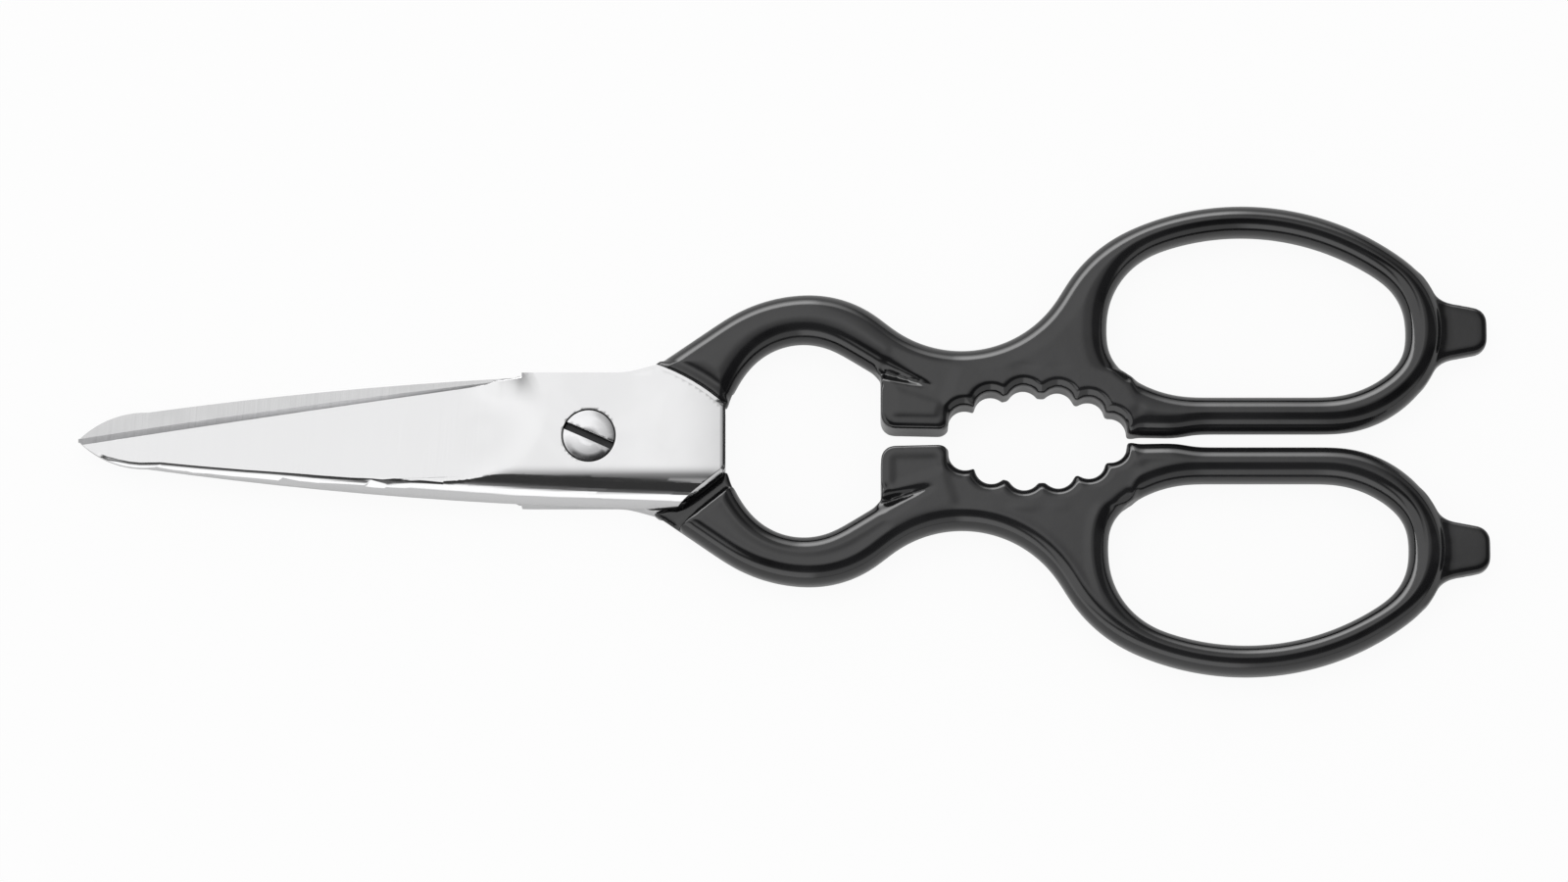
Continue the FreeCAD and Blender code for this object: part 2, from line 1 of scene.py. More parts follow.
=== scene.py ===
"""Finished look of a pair of forged poultry shears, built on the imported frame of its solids.

Lengths are in metres and angles in degrees. A span is a pair of values: something starts to count at the
first and counts fully at the second.
"""

import json
import logging
import math
from collections.abc import Iterator
from contextlib import contextmanager
from dataclasses import dataclass, field
from enum import Enum

import bmesh
import bpy
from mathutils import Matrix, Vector

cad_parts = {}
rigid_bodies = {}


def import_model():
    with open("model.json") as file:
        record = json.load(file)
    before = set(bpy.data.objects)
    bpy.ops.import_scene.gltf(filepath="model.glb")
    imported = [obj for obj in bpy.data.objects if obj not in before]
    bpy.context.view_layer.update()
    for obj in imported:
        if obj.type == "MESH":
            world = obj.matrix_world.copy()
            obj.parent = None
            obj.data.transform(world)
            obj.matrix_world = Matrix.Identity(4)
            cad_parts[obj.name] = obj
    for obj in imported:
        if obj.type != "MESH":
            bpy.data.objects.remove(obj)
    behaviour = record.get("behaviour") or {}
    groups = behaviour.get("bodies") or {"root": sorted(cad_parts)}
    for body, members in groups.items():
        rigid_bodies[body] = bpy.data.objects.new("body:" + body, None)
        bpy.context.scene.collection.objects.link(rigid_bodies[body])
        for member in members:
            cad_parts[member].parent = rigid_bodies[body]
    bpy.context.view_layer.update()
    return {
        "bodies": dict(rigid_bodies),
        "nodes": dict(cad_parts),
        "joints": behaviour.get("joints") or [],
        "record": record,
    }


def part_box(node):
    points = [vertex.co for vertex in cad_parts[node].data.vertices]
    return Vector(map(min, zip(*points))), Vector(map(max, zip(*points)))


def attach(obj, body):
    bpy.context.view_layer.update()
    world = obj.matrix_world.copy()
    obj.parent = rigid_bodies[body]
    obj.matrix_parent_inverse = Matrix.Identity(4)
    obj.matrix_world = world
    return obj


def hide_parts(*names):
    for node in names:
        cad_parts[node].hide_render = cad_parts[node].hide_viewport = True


LOG = logging.getLogger("shears")
MM = 0.001
HAIR = 1e-6  # too short a length to matter
AIM_X = 0.1 * MM  # how far to the right of the frame's origin the camera looks
Span = tuple[float, float]
Colour = tuple[float, float, float]


class Half(Enum):
    """The two halves of the shears, by the body that each one rides on."""

    FRONT = "front_half"
    REAR = "rear_half"

    @property
    def prefix(self) -> str:
        """Start of the names of this half's solids."""
        return self.value.split("_")[0]

    @property
    def facing(self) -> float:
        """Sign of the direction, along Z, that this half's outer face looks to."""
        return 1.0 if self is Half.FRONT else -1.0


def eased(value: float, low: float, high: float) -> float:
    """Rise smoothly from 0 at low to 1 at high."""
    share = min(max((value - low) / (high - low), 0.0), 1.0)
    return share * share * (3.0 - 2.0 * share)


def moved(span: Span, distance: float) -> Span:
    """Move both values of a span."""
    return span[0] + distance, span[1] + distance


def steps(start: float, end: float, step: float) -> list[float]:
    """List the places from start to end that are a step apart."""
    return [start + number * step for number in range(math.floor((end - start) / step + HAIR) + 1)]


# ---------------------------------------------------------------- node helpers


class NodeSheet:
    """Adds nodes to a tree and links them, so that a finish reads top to bottom."""

    def __init__(self, tree: bpy.types.NodeTree) -> None:
        """Wrap a node tree.

        Args:
            tree: the tree that receives the nodes.
        """
        self.tree = tree

    def add(
        self, kind: str, inputs: dict[str | int, object] | None = None, **settings: object
    ) -> bpy.types.Node:
        """Add a node, set its properties, and feed its inputs.

        Args:
            kind: the node's bl_idname.
            inputs: input name or index to a plain value or to an output socket.
            **settings: node properties.

        Returns:
            The new node.
        """
        node = self.tree.nodes.new(kind)
        for key, value in settings.items():
            setattr(node, key, value)
        self.feed_all(node, inputs or {})
        return node

    def feed_all(self, node: bpy.types.Node, inputs: dict[str | int, object]) -> None:
        """Feed several inputs of a node, each by its name or index."""
        for key, value in inputs.items():
            self.feed(node.inputs[key], value)

    def feed(self, socket: bpy.types.NodeSocket, value: object) -> None:
        """Link an output socket to an input, or set the input's own value.

        Args:
            socket: the input.
            value: an output socket or a plain value.
        """
        if isinstance(value, bpy.types.NodeSocket):
            self.tree.links.new(value, socket)
        else:
            socket.default_value = value

    def math(self, operation: str, *values: object, clamp: bool = False) -> bpy.types.NodeSocket:
        """Add a Math node and return its result.

        Args:
            operation: the Math node's operation.
            *values: its inputs in order.
            clamp: whether the result is held between 0 and 1.

        Returns:
            The result socket.
        """
        node = self.add("ShaderNodeMath", dict(enumerate(values)), operation=operation, use_clamp=clamp)
        return node.outputs[0]

    def ramp(
        self,
        value: object,
        low: float,
        high: float,
        to_low: float = 0.0,
        to_high: float = 1.0,
        smooth: bool = True,
    ) -> bpy.types.NodeSocket:
        """Map a value from one range to another, clamped at both ends.

        Args:
            value: the value or socket to map.
            low: value that gives to_low.
            high: value that gives to_high.
            to_low: result at low.
            to_high: result at high.
            smooth: whether the ends are eased.

        Returns:
            The mapped value's socket.
        """
        inputs = {"Value": value, "From Min": low, "From Max": high, "To Min": to_low, "To Max": to_high}
        shape = "SMOOTHSTEP" if smooth else "LINEAR"
        return self.add("ShaderNodeMapRange", inputs, interpolation_type=shape).outputs[0]

    def plus(self, start: object, *shares: tuple[object, float]) -> bpy.types.NodeSocket:
        """Add shares of further values to a first one.

        Args:
            start: the first value or socket.
            *shares: each further value, with the factor that it counts by.

        Returns:
            The sum's socket.
        """
        total = start
        for value, factor in shares:
            total = self.math("ADD", total, self.math("MULTIPLY", value, factor))
        return total

    def vectors(self, operation: str, *values: object) -> bpy.types.NodeSocket:
        """Add a Vector Math node and return the vector that it gives."""
        return self.add("ShaderNodeVectorMath", dict(enumerate(values)), operation=operation).outputs[0]

    def radius(self, x: object, y: object) -> bpy.types.NodeSocket:
        """Give how far a place at X and Y is from the Z axis."""
        square = self.math("ADD", self.math("POWER", x, 2.0), self.math("POWER", y, 2.0))
        return self.math("SQRT", square)

    def noise(
        self, vector: object, scale: float, detail: float = 2.0, roughness: float = 0.5
    ) -> bpy.types.NodeSocket:
        """Add a noise texture and return its value.

        Args:
            vector: the coordinates to read.
            scale: cells in one unit of the coordinates.
            detail: octaves.
            roughness: share of the finer octaves.

        Returns:
            The noise value's socket.
        """
        inputs = {"Vector": vector, "Scale": scale, "Detail": detail, "Roughness": roughness}
        return self.add("ShaderNodeTexNoise", inputs).outputs["Fac"]

    def from_axis(self, vector: object, axis: tuple[float, float]) -> bpy.types.NodeOutputs:
        """Measure coordinates from an upright axis, and give their X, Y and Z."""
        centred = self.add("ShaderNodeMapping", {"Vector": vector, "Location": (-axis[0], -axis[1], 0.0)})
        return self.add("ShaderNodeSeparateXYZ", {"Vector": centred.outputs[0]}).outputs

    def colours(self, share: object, first: object, second: object) -> bpy.types.NodeSocket:
        """Mix two colours.

        Args:
            share: how much of the second there is, from 0 to 1.
            first: a socket, or red, green and blue.
            second: the same.

        Returns:
            The mixed colour's socket.
        """
        inputs = {"Factor": share}
        for index, colour in ((6, first), (7, second)):
            inputs[index] = (*colour, 1.0) if isinstance(colour, tuple) else colour
        return self.add("ShaderNodeMix", inputs, data_type="RGBA").outputs[2]

    def bump(self, height: object, strength: float, distance: float) -> bpy.types.NodeSocket:
        """Turn a height into a bumped normal."""
        inputs = {"Height": height, "Strength": strength, "Distance": distance}
        return self.add("ShaderNodeBump", inputs).outputs[0]


def new_group(
    name: str, inputs: dict[str, tuple[str, object]], outputs: dict[str, str]
) -> bpy.types.NodeTree:
    """Make an empty shader node group with its sockets.

    Args:
        name: the group's name.
        inputs: input name to socket type and default.
        outputs: output name to socket type.

    Returns:
        The new node tree.
    """
    tree = bpy.data.node_groups.new(name, "ShaderNodeTree")
    for label, (kind, default) in inputs.items():
        socket = tree.interface.new_socket(label, in_out="INPUT", socket_type=kind)
        if default is not None:
            socket.default_value = default
    for label, kind in outputs.items():
        tree.interface.new_socket(label, in_out="OUTPUT", socket_type=kind)
    return tree


def grinding_group() -> bpy.types.NodeTree:
    """Fine straight marks that a grinding wheel leaves, running along one direction in the XY plane.

    Returns:
        The group, with a height and a shade for the marks.
    """
    tree = new_group(
        "grinding_marks",
        {
            "Vector": ("NodeSocketVector", None),
            "Direction": ("NodeSocketFloat", 90.0),
            "Spacing mm": ("NodeSocketFloat", 0.12),
            "Length mm": ("NodeSocketFloat", 6.0),
        },
        {"Height": "NodeSocketFloat", "Shade": "NodeSocketFloat"},
    )
    sheet = NodeSheet(tree)
    source = sheet.add("NodeGroupInput")
    radians = sheet.math("MULTIPLY", source.outputs["Direction"], math.pi / 180)
    turned = sheet.add(
        "ShaderNodeVectorRotate",
        {"Vector": source.outputs["Vector"], "Angle": sheet.math("MULTIPLY", radians, -1.0)},
        rotation_type="Z_AXIS",
    )
    per_length = sheet.math("DIVIDE", 1000.0, source.outputs["Length mm"])
    per_width = sheet.math("DIVIDE", 1000.0, source.outputs["Spacing mm"])
    stretch = sheet.add("ShaderNodeCombineXYZ", {"X": per_length, "Y": per_width, "Z": per_length})
    drawn = sheet.vectors("MULTIPLY", turned.outputs[0], stretch.outputs[0])
    fine = sheet.noise(drawn, 1.0, 3.0, 0.65)
    wider = sheet.vectors("MULTIPLY", drawn, (0.35, 0.22, 0.35))
    broad = sheet.noise(wider, 1.0)
    height = sheet.plus(sheet.math("MULTIPLY", fine, 0.7), (broad, 0.3))
    sheet.add("NodeGroupOutput", {"Height": height, "Shade": sheet.ramp(height, 0.3, 0.7)})
    return tree


def handling_group() -> bpy.types.NodeTree:
    """Faint smears and specks from handling, which change how sharp a reflection is.

    Returns:
        The group, with a value from 0 to 1 for the smears and one for the specks.
    """
    tree = new_group(
        "handling_smears",
        {
            "Vector": ("NodeSocketVector", None),
            "Smear mm": ("NodeSocketFloat", 14.0),
            "Speck mm": ("NodeSocketFloat", 0.5),
        },
        {"Smear": "NodeSocketFloat", "Speck": "NodeSocketFloat"},
    )
    sheet = NodeSheet(tree)
    source = sheet.add("NodeGroupInput")
    per_smear = sheet.math("DIVIDE", 1000.0, source.outputs["Smear mm"])
    per_speck = sheet.math("DIVIDE", 1000.0, source.outputs["Speck mm"])
    where = source.outputs["Vector"]
    smear = sheet.add(
        "ShaderNodeTexNoise",
        {"Vector": where, "Scale": per_smear, "Detail": 4.0, "Roughness": 0.6, "Distortion": 0.6},
    )
    cells = sheet.add("ShaderNodeTexVoronoi", {"Vector": where, "Scale": per_speck})
    speck = sheet.ramp(cells.outputs["Distance"], 0.05, 0.16, 1.0, 0.0)
    sheet.add("NodeGroupOutput", {"Smear": sheet.ramp(smear.outputs["Fac"], 0.35, 0.7), "Speck": speck})
    return tree


# ---------------------------------------------------------------- finishes


@dataclass(frozen=True)
class Finish:
    """What every finish has in common."""

    name: str

    def start(self) -> tuple[bpy.types.Material, NodeSheet, bpy.types.NodeSocket, bpy.types.Node]:
        """Make the material with an empty tree.

        Returns:
            The material, its sheet, the Object coordinates and the Principled BSDF.
        """
        material = bpy.data.materials.new(self.name)
        material.use_nodes = True
        material.node_tree.nodes.clear()
        sheet = NodeSheet(material.node_tree)
        where = sheet.add("ShaderNodeTexCoord").outputs["Object"]
        shader = sheet.add("ShaderNodeBsdfPrincipled")
        sheet.add("ShaderNodeOutputMaterial", {"Surface": shader.outputs[0]})
        return material, sheet, where, shader


@dataclass(frozen=True)
class BladeSteel(Finish):
    """Stainless blade: cross-ground faces, finer marks on the polished pivot plate, painted shade on the
    inner side and the cutting bevel, and painted shade in the gap round the screw.
    """

    grinding: bpy.types.NodeTree
    handling: bpy.types.NodeTree
    pivot: tuple[float, float]
    facing: float
    colour: Colour = (0.68, 0.68, 0.685)
    # dark is the deeper tone of the grinding marks, and also the painted shade on the inner side and the
    # cutting bevel
    dark: Colour = (0.17, 0.17, 0.173)
    # painted shade: the colour that the plate takes in the gap round the screw's head
    grime: Colour = (0.02, 0.02, 0.02)
    mark_angle: float = 86.0  # from the X axis
    mark_spacing_mm: float = 0.07
    mark_length_mm: float = 9.0
    polished_away: float = 0.75  # share of the marks that the plate has lost
    plate: Span = (-14.0 * MM, -9.0 * MM)  # from the pivot
    # the inner side and the cutting bevel that these pick out get painted shade
    inner_turn: Span = (-0.7, -0.9)  # outward part of the normal of the inner side
    bevel_turn: Span = (0.25, 0.45)  # part of the normal towards the cutting edge
    bevel_rise: Span = (0.05, 0.15)  # outward part of the bevel's normal
    bevel_start: Span = (-9.0 * MM, -12.0 * MM)  # from the pivot
    seat_radius: float = 3.77 * MM
    # over this span past the seat's radius, the painted shade round the screw fades out
    grime_edge: Span = (0.09 * MM, 0.02 * MM)  # past the seat's radius
    roughness: float = 0.11
    mark_strength: float = 0.3
    mark_depth: float = 0.006 * MM

    def build(self) -> bpy.types.Material:
        """Make the material.

        Returns:
            The blade's steel.
        """
        material, sheet, where, shader = self.start()
        marks = sheet.add(
            "ShaderNodeGroup",
            {
                "Vector": where,
                "Direction": self.mark_angle,
                "Spacing mm": self.mark_spacing_mm,
                "Length mm": self.mark_length_mm,
            },
            node_tree=self.grinding,
        ).outputs
        smear = sheet.add("ShaderNodeGroup", {"Vector": where}, node_tree=self.handling).outputs["Smear"]
        plate, inner, bevel, grime = self.regions(sheet, where)
        satin = sheet.math("MAXIMUM", inner, bevel)
        left = sheet.math("SUBTRACT", 1.0, sheet.math("MULTIPLY", plate, self.polished_away))
        strength = sheet.math("MULTIPLY", left, sheet.plus(0.03, (satin, 0.08)))
        # painted shade: the inner side and the cutting bevel, picked by where they face, are darkened towards
        # the dark colour
        inner_and_bevel_shade = sheet.plus(sheet.math("MULTIPLY", inner, 0.17), (bevel, 0.9))
        tint = sheet.math("ADD", sheet.math("MULTIPLY", marks["Shade"], strength), inner_and_bevel_shade)
        height = sheet.math("MULTIPLY", marks["Height"], strength)
        sheet.feed_all(
            shader,
            {
                # the gap round the screw is darkened last, as painted shade
                "Base Color": sheet.colours(grime, sheet.colours(tint, self.colour, self.dark), self.grime),
                "Roughness": sheet.plus(
                    self.roughness, (smear, 0.04), (inner, 0.06), (bevel, 0.25), (grime, 0.4)
                ),
                "Metallic": 1.0,
                "Normal": sheet.bump(height, self.mark_strength, self.mark_depth),
            },
        )
        return material

    def regions(self, sheet: NodeSheet, where: bpy.types.NodeSocket) -> tuple[bpy.types.NodeSocket, ...]:
        """Tell the blade's regions apart, by their place and by where they face.

        Args:
            sheet: where the nodes go.
            where: the Object coordinates.

        Returns:
            A mask for the pivot plate, the inner side and the cutting bevel, the last two for painted shade,
            and one for the painted shade in the gap round the screw.
        """
        place = sheet.from_axis(where, self.pivot)
        plate = sheet.ramp(place["X"], *self.plate)
        normal = sheet.add("ShaderNodeNewGeometry").outputs["Normal"]
        faces = sheet.add("ShaderNodeSeparateXYZ", {"Vector": normal}).outputs
        outward = sheet.math("MULTIPLY", faces["Z"], self.facing)
        inner = sheet.ramp(outward, *self.inner_turn)
        edgeward = sheet.ramp(sheet.math("MULTIPLY", faces["Y"], self.facing), *self.bevel_turn)
        bevel = sheet.math("MULTIPLY", edgeward, sheet.ramp(place["X"], *self.bevel_start))
        bevel = sheet.math("MULTIPLY", bevel, sheet.ramp(outward, *self.bevel_rise))
        from_screw = sheet.radius(place["X"], place["Y"])
        # the last mask is the painted shade in the gap round the screw's head
        return plate, inner, bevel, sheet.ramp(from_screw, *moved(self.grime_edge, self.seat_radius))


@dataclass(frozen=True)
class ScrewSteel(Finish):
    """Bright turned screw with faint rings about its own axis, and painted shade in its slot and round the
    head's rim.
    """

    handling: bpy.types.NodeTree
    axis: tuple[float, float]
    # the slot's levels bound its painted shade
    slot: Span  # levels of its floor and of where it is bright again
    colour: Colour = (0.72, 0.72, 0.73)
    # painted shade: the colour of the slot and of the head's rim
    dark: Colour = (0.06, 0.06, 0.062)
    # the head's rim gets painted shade between these radii
    rim: Span = (3.58 * MM, 3.63 * MM)  # radii between which the head darkens
    rings_per_metre: float = 5000.0
    smear_mm: float = 3.0
    roughness: float = 0.14
    ring_strength: float = 0.12
    ring_depth: float = 0.006 * MM

    def build(self) -> bpy.types.Material:
        """Make the material.

        Returns:
            The screw's steel.
        """
        material, sheet, where, shader = self.start()
        place = sheet.from_axis(where, self.axis)
        radius = sheet.radius(place["X"], place["Y"])
        rings = sheet.add("ShaderNodeCombineXYZ", {"X": radius, "Z": place["Z"]})
        turned = sheet.noise(rings.outputs[0], self.rings_per_metre, 1.0)
        touch = sheet.add(
            "ShaderNodeGroup", {"Vector": where, "Smear mm": self.smear_mm}, node_tree=self.handling
        )
        # painted shade: darker towards the slot's floor and at the head's rim
        depth = sheet.ramp(place["Z"], *self.slot, 1.0, 0.0)
        depth = sheet.math("MAXIMUM", depth, sheet.ramp(radius, *self.rim))
        sheet.feed_all(
            shader,
            {
                "Base Color": sheet.colours(depth, self.colour, self.dark),
                "Roughness": sheet.plus(self.roughness, (touch.outputs["Smear"], 0.08), (depth, 0.25)),
                "Metallic": 1.0,
                "Normal": sheet.bump(turned, self.ring_strength, self.ring_depth),
            },
        )
        return material


@dataclass(frozen=True)
class BowEnamel(Finish):
    """Glossy black baked enamel with the slight waviness of a dipped coat over a forging."""

    handling: bpy.types.NodeTree
    colour: Colour = (0.006, 0.006, 0.0065)
    worn: Colour = (0.016, 0.016, 0.017)
    smear_mm: float = 22.0
    speck_mm: float = 0.9
    roughness: float = 0.09
    waves_per_metre: float = 260.0
    peel_per_metre: float = 1400.0
    wave_strength: float = 0.3
    wave_depth: float = 0.05 * MM
    refraction: float = 1.58

    def build(self) -> bpy.types.Material:
        """Make the material.

        Returns:
            The bows' enamel.
        """
        material, sheet, where, shader = self.start()
        touch = sheet.add(
            "ShaderNodeGroup",
            {"Vector": where, "Smear mm": self.smear_mm, "Speck mm": self.speck_mm},
            node_tree=self.handling,
        ).outputs
        wave = sheet.noise(where, self.waves_per_metre, roughness=0.4)
        peel = sheet.noise(where, self.peel_per_metre)
        height = sheet.plus(sheet.math("MULTIPLY", wave, 0.8), (peel, 0.12))
        sheet.feed_all(
            shader,
            {
                "Base Color": sheet.colours(touch["Smear"], self.colour, self.worn),
                "Roughness": sheet.plus(self.roughness, (touch["Smear"], 0.05), (touch["Speck"], 0.03)),
                "IOR": self.refraction,
                "Normal": sheet.bump(height, self.wave_strength, self.wave_depth),
            },
        )
        return material


# ---------------------------------------------------------------- mesh work


@contextmanager
def opened(mesh: bpy.types.Mesh) -> Iterator[bmesh.types.BMesh]:
    """Open a mesh for editing, and write it back at the end.

    Args:
        mesh: the mesh to edit.

    Yields:
        The mesh as a bmesh.
    """
    shell = bmesh.new()
    shell.from_mesh(mesh)
    yield shell
    shell.to_mesh(mesh)
    shell.free()


def new_piece(mesh: bpy.types.Mesh) -> bpy.types.Object:
    """Put a mesh into the scene as an object of the same name.

    Args:
        mesh: the piece's mesh.

    Returns:
        The new object.
    """
    piece = bpy.data.objects.new(mesh.name, mesh)
    bpy.context.scene.collection.objects.link(piece)
    return piece


def merged_shell(node: bpy.types.Object) -> bmesh.types.BMesh:
    """Read a solid's mesh, and join its loose triangles into one closed skin.

    Args:
        node: the solid, which stays as it is.

    Returns:
        The skin, to be freed after use.
    """
    shell = bmesh.new()
    shell.from_mesh(node.data)
    bmesh.ops.remove_doubles(shell, verts=shell.verts, dist=HAIR)
    return shell


def merged_copy(node: bpy.types.Object, name: str) -> bpy.types.Object:
    """Make a new piece from a solid's closed skin.

    Args:
        node: the solid to copy.
        name: name of the new piece.

    Returns:
        The new object, linked to the scene.
    """
    mesh = bpy.data.meshes.new(name)
    shell = merged_shell(node)
    shell.to_mesh(mesh)
    shell.free()
    return new_piece(mesh)


def settle(piece: bpy.types.Object) -> None:
    """Turn a piece's modifiers into its plain mesh.

    Args:
        piece: the object whose modifiers are used up.
    """
    bpy.context.view_layer.update()
    evaluated = piece.evaluated_get(bpy.context.evaluated_depsgraph_get())
    finished = bpy.data.meshes.new_from_object(evaluated)
    piece.modifiers.clear()
    piece.data = finished


def new_geometry_tree(name: str, inputs: dict[str, str]) -> bpy.types.NodeTree:
    """Make an empty Geometry Nodes tree that takes and gives one geometry.

    Args:
        name: the tree's name.
        inputs: name and socket type of each further input.

    Returns:
        The new tree.
    """
    tree = bpy.data.node_groups.new(name, "GeometryNodeTree")
    tree.interface.new_socket("Geometry", in_out="INPUT", socket_type="NodeSocketGeometry")
    for label, kind in inputs.items():
        tree.interface.new_socket(label, in_out="INPUT", socket_type=kind)
    tree.interface.new_socket("Geometry", in_out="OUTPUT", socket_type="NodeSocketGeometry")
    return tree


def blurred(sheet: NodeSheet, value: object, passes: object, weight: object) -> bpy.types.NodeSocket:
    """Even out a vector field over its neighbours.

    Args:
        sheet: where the node goes.
        value: the vector field.
        passes: how many times it is evened out.
        weight: how far each pass goes, from 0 to 1.

    Returns:
        The evened field's socket.
    """
    inputs = {"Iterations": passes, "Weight": weight}
    node = sheet.add("GeometryNodeBlurAttribute", inputs, data_type="FLOAT_VECTOR")
    sheet.feed(next(socket for socket in node.inputs if socket.type == "VECTOR"), value)
    return next(socket for socket in node.outputs if socket.type == "VECTOR")


def named_number(sheet: NodeSheet, name: str) -> bpy.types.NodeSocket:
    """Read a number that is stored on the mesh under a name."""
    node = sheet.add("GeometryNodeInputNamedAttribute", {"Name": name}, data_type="FLOAT")
    return next(socket for socket in node.outputs if socket.enabled and socket.type == "VALUE")


def rounding_tree() -> bpy.types.NodeTree:
    """Geometry Nodes tree that turns the square rim of a forged bar into the oval one of its coated form.

    Each point keeps its place along the bar's section, from the middle of the side wall up over the rim
    and in across the face, and moves onto a quarter oval as deep and as high as the numbers stored on it
    say. Past Fade times that depth it stays where it is. The direction inwards leans a little against the
    face's normal, by Lean, for the points that lie on the outline itself.

    Returns:
        The tree.
    """
    tree = new_geometry_tree(
        "coated_rim",
        {
            "Outline": "NodeSocketObject",
            "Middle": "NodeSocketFloat",
            "Half Thickness": "NodeSocketFloat",
            "Broken Edge": "NodeSocketFloat",
            "Fade": "NodeSocketFloat",
            "Lean": "NodeSocketFloat",
            "Outline Step": "NodeSocketFloat",
            "Outline Passes": "NodeSocketInt",
            "Coat Passes": "NodeSocketInt",
            "Finish": "NodeSocketMaterial",
        },
    )
    sheet = NodeSheet(tree)
    given = sheet.add("NodeGroupInput").outputs
    half = given["Half Thickness"]

    drawn = sheet.add("GeometryNodeObjectInfo", {"Object": given["Outline"]}, transform_space="ORIGINAL")
    line = sheet.add("GeometryNodeMeshToCurve", {"Mesh": drawn.outputs["Geometry"]})
    spacing = {"Curve": line.outputs[0], "Length": given["Outline Step"]}
    even = sheet.add("GeometryNodeResampleCurve", spacing, mode="LENGTH")
    where = sheet.add("GeometryNodeInputPosition").outputs[0]
    eased_place = blurred(sheet, where, given["Outline Passes"], named_number(sheet, "ease"))
    smooth_line = sheet.add("GeometryNodeSetPosition", {"Geometry": even.outputs[0], "Position": eased_place})
    edges = sheet.add("GeometryNodeCurveToMesh", {"Curve": smooth_line.outputs[0]})

    parts = sheet.add("ShaderNodeSeparateXYZ", {"Vector": where}).outputs
    level = sheet.math("SUBTRACT", parts["Z"], given["Middle"])
    side, height = sheet.math("SIGN", level), sheet.math("ABSOLUTE", level)
    in_middle = {"X": parts["X"], "Y": parts["Y"], "Z": given["Middle"]}
    flat = sheet.add("ShaderNodeCombineXYZ", in_middle).outputs[0]
    near = sheet.add("GeometryNodeProximity", target_element="EDGES")
    sheet.feed(near.inputs[0], edges.outputs[0])
    sheet.feed(next(socket for socket in near.inputs if "Position" in socket.name), flat)
    foot, depth = near.outputs["Position"], near.outputs["Distance"]

    width, rise = named_number(sheet, "round_width"), named_number(sheet, "round_rise")
    along = sheet.math("ADD", height, depth)
    wall = sheet.math("SUBTRACT", half, rise)
    past_wall, arc = sheet.math("SUBTRACT", along, wall), sheet.math("ADD", rise, width)
    share = sheet.math("DIVIDE", past_wall, arc, clamp=True)
    angle = sheet.math("MULTIPLY", share, math.pi / 2)
    lifted = sheet.math("MULTIPLY", rise, sheet.math("SINE", angle))
    up = sheet.math("ADD", sheet.math("MINIMUM", along, wall), lifted)
    inward = sheet.math("MULTIPLY", width, sheet.math("SUBTRACT", 1.0, sheet.math("COSINE", angle)))
    past = sheet.math("SUBTRACT", sheet.math("SUBTRACT", along, half), width)
    inward = sheet.math("ADD", inward, sheet.math("MAXIMUM", past, 0.0))

    normal = sheet.add("GeometryNodeInputNormal").outputs[0]
    leaning = sheet.add("ShaderNodeCombineXYZ", {"X": given["Lean"], "Y": given["Lean"]}).outputs[0]
    inwards = sheet.vectors("SUBTRACT", flat, foot)
    inwards = sheet.vectors("SUBTRACT", inwards, sheet.vectors("MULTIPLY", normal, leaning))
    across = sheet.vectors("NORMALIZE", inwards)
    reached = sheet.add("ShaderNodeVectorMath", {0: across, "Scale": inward}, operation="SCALE").outputs[0]
    raised = sheet.add("ShaderNodeCombineXYZ", {"Z": sheet.math("MULTIPLY", side, up)}).outputs[0]
    landed = sheet.vectors("ADD", sheet.vectors("ADD", foot, reached), raised)

    reach = sheet.math("MAXIMUM", width, given["Broken Edge"])
    bounds = {"Value": depth, "From Min": sheet.math("MULTIPLY", reach, given["Fade"]), "From Max": reach}
    rim = sheet.add("ShaderNodeMapRange", bounds).outputs[0]
    free = sheet.math("MULTIPLY", rim, sheet.math("SUBTRACT", 1.0, named_number(sheet, "hold")))
    place = sheet.add("ShaderNodeMix", {"Factor": free, 4: where, 5: landed}, data_type="VECTOR").outputs[1]
    rounded = sheet.add("GeometryNodeSetPosition", {"Geometry": given["Geometry"], "Position": place})
    flowed = blurred(sheet, where, given["Coat Passes"], named_number(sheet, "flow"))
    coated = sheet.add("GeometryNodeSetPosition", {"Geometry": rounded.outputs[0], "Position": flowed})
    smooth = sheet.add("GeometryNodeSetShadeSmooth", {"Geometry": coated.outputs[0]})
    real = sheet.add("GeometryNodeRealizeInstances", {"Geometry": smooth.outputs[0]})
    dressed = sheet.add("GeometryNodeSetMaterial", {"Geometry": real.outputs[0], "Material": given["Finish"]})
    sheet.add("NodeGroupOutput", {0: dressed.outputs[0]})
    return tree


def set_inputs(modifier: bpy.types.NodesModifier, values: dict[str, object]) -> None:
    """Set a Geometry Nodes modifier's inputs by their names in its tree.

    Args:
        modifier: the modifier.
        values: input name to the value to give it.
    """
    for item in modifier.node_group.interface.items_tree:
        if item.in_out == "INPUT" and item.name in values:
            modifier[item.identifier] = values[item.name]


# ---------------------------------------------------------------- pieces


@dataclass(frozen=True)
class Rim:
    """How far a rim is rounded: in from the side and down from the face."""

    width: float
    rise: float


@dataclass(frozen=True)
class Zone:
    """A stretch of a bow: its two borders along the shears, and the one that it keeps to across them."""

    start: Span
    end: Span
    side: Span

    def share(self, x: float, y: float) -> float:
        """Tell how far a place is inside the zone, from 0 to 1."""
        return eased(x, *self.start) * eased(x, *self.end) * eased(y, *self.side)


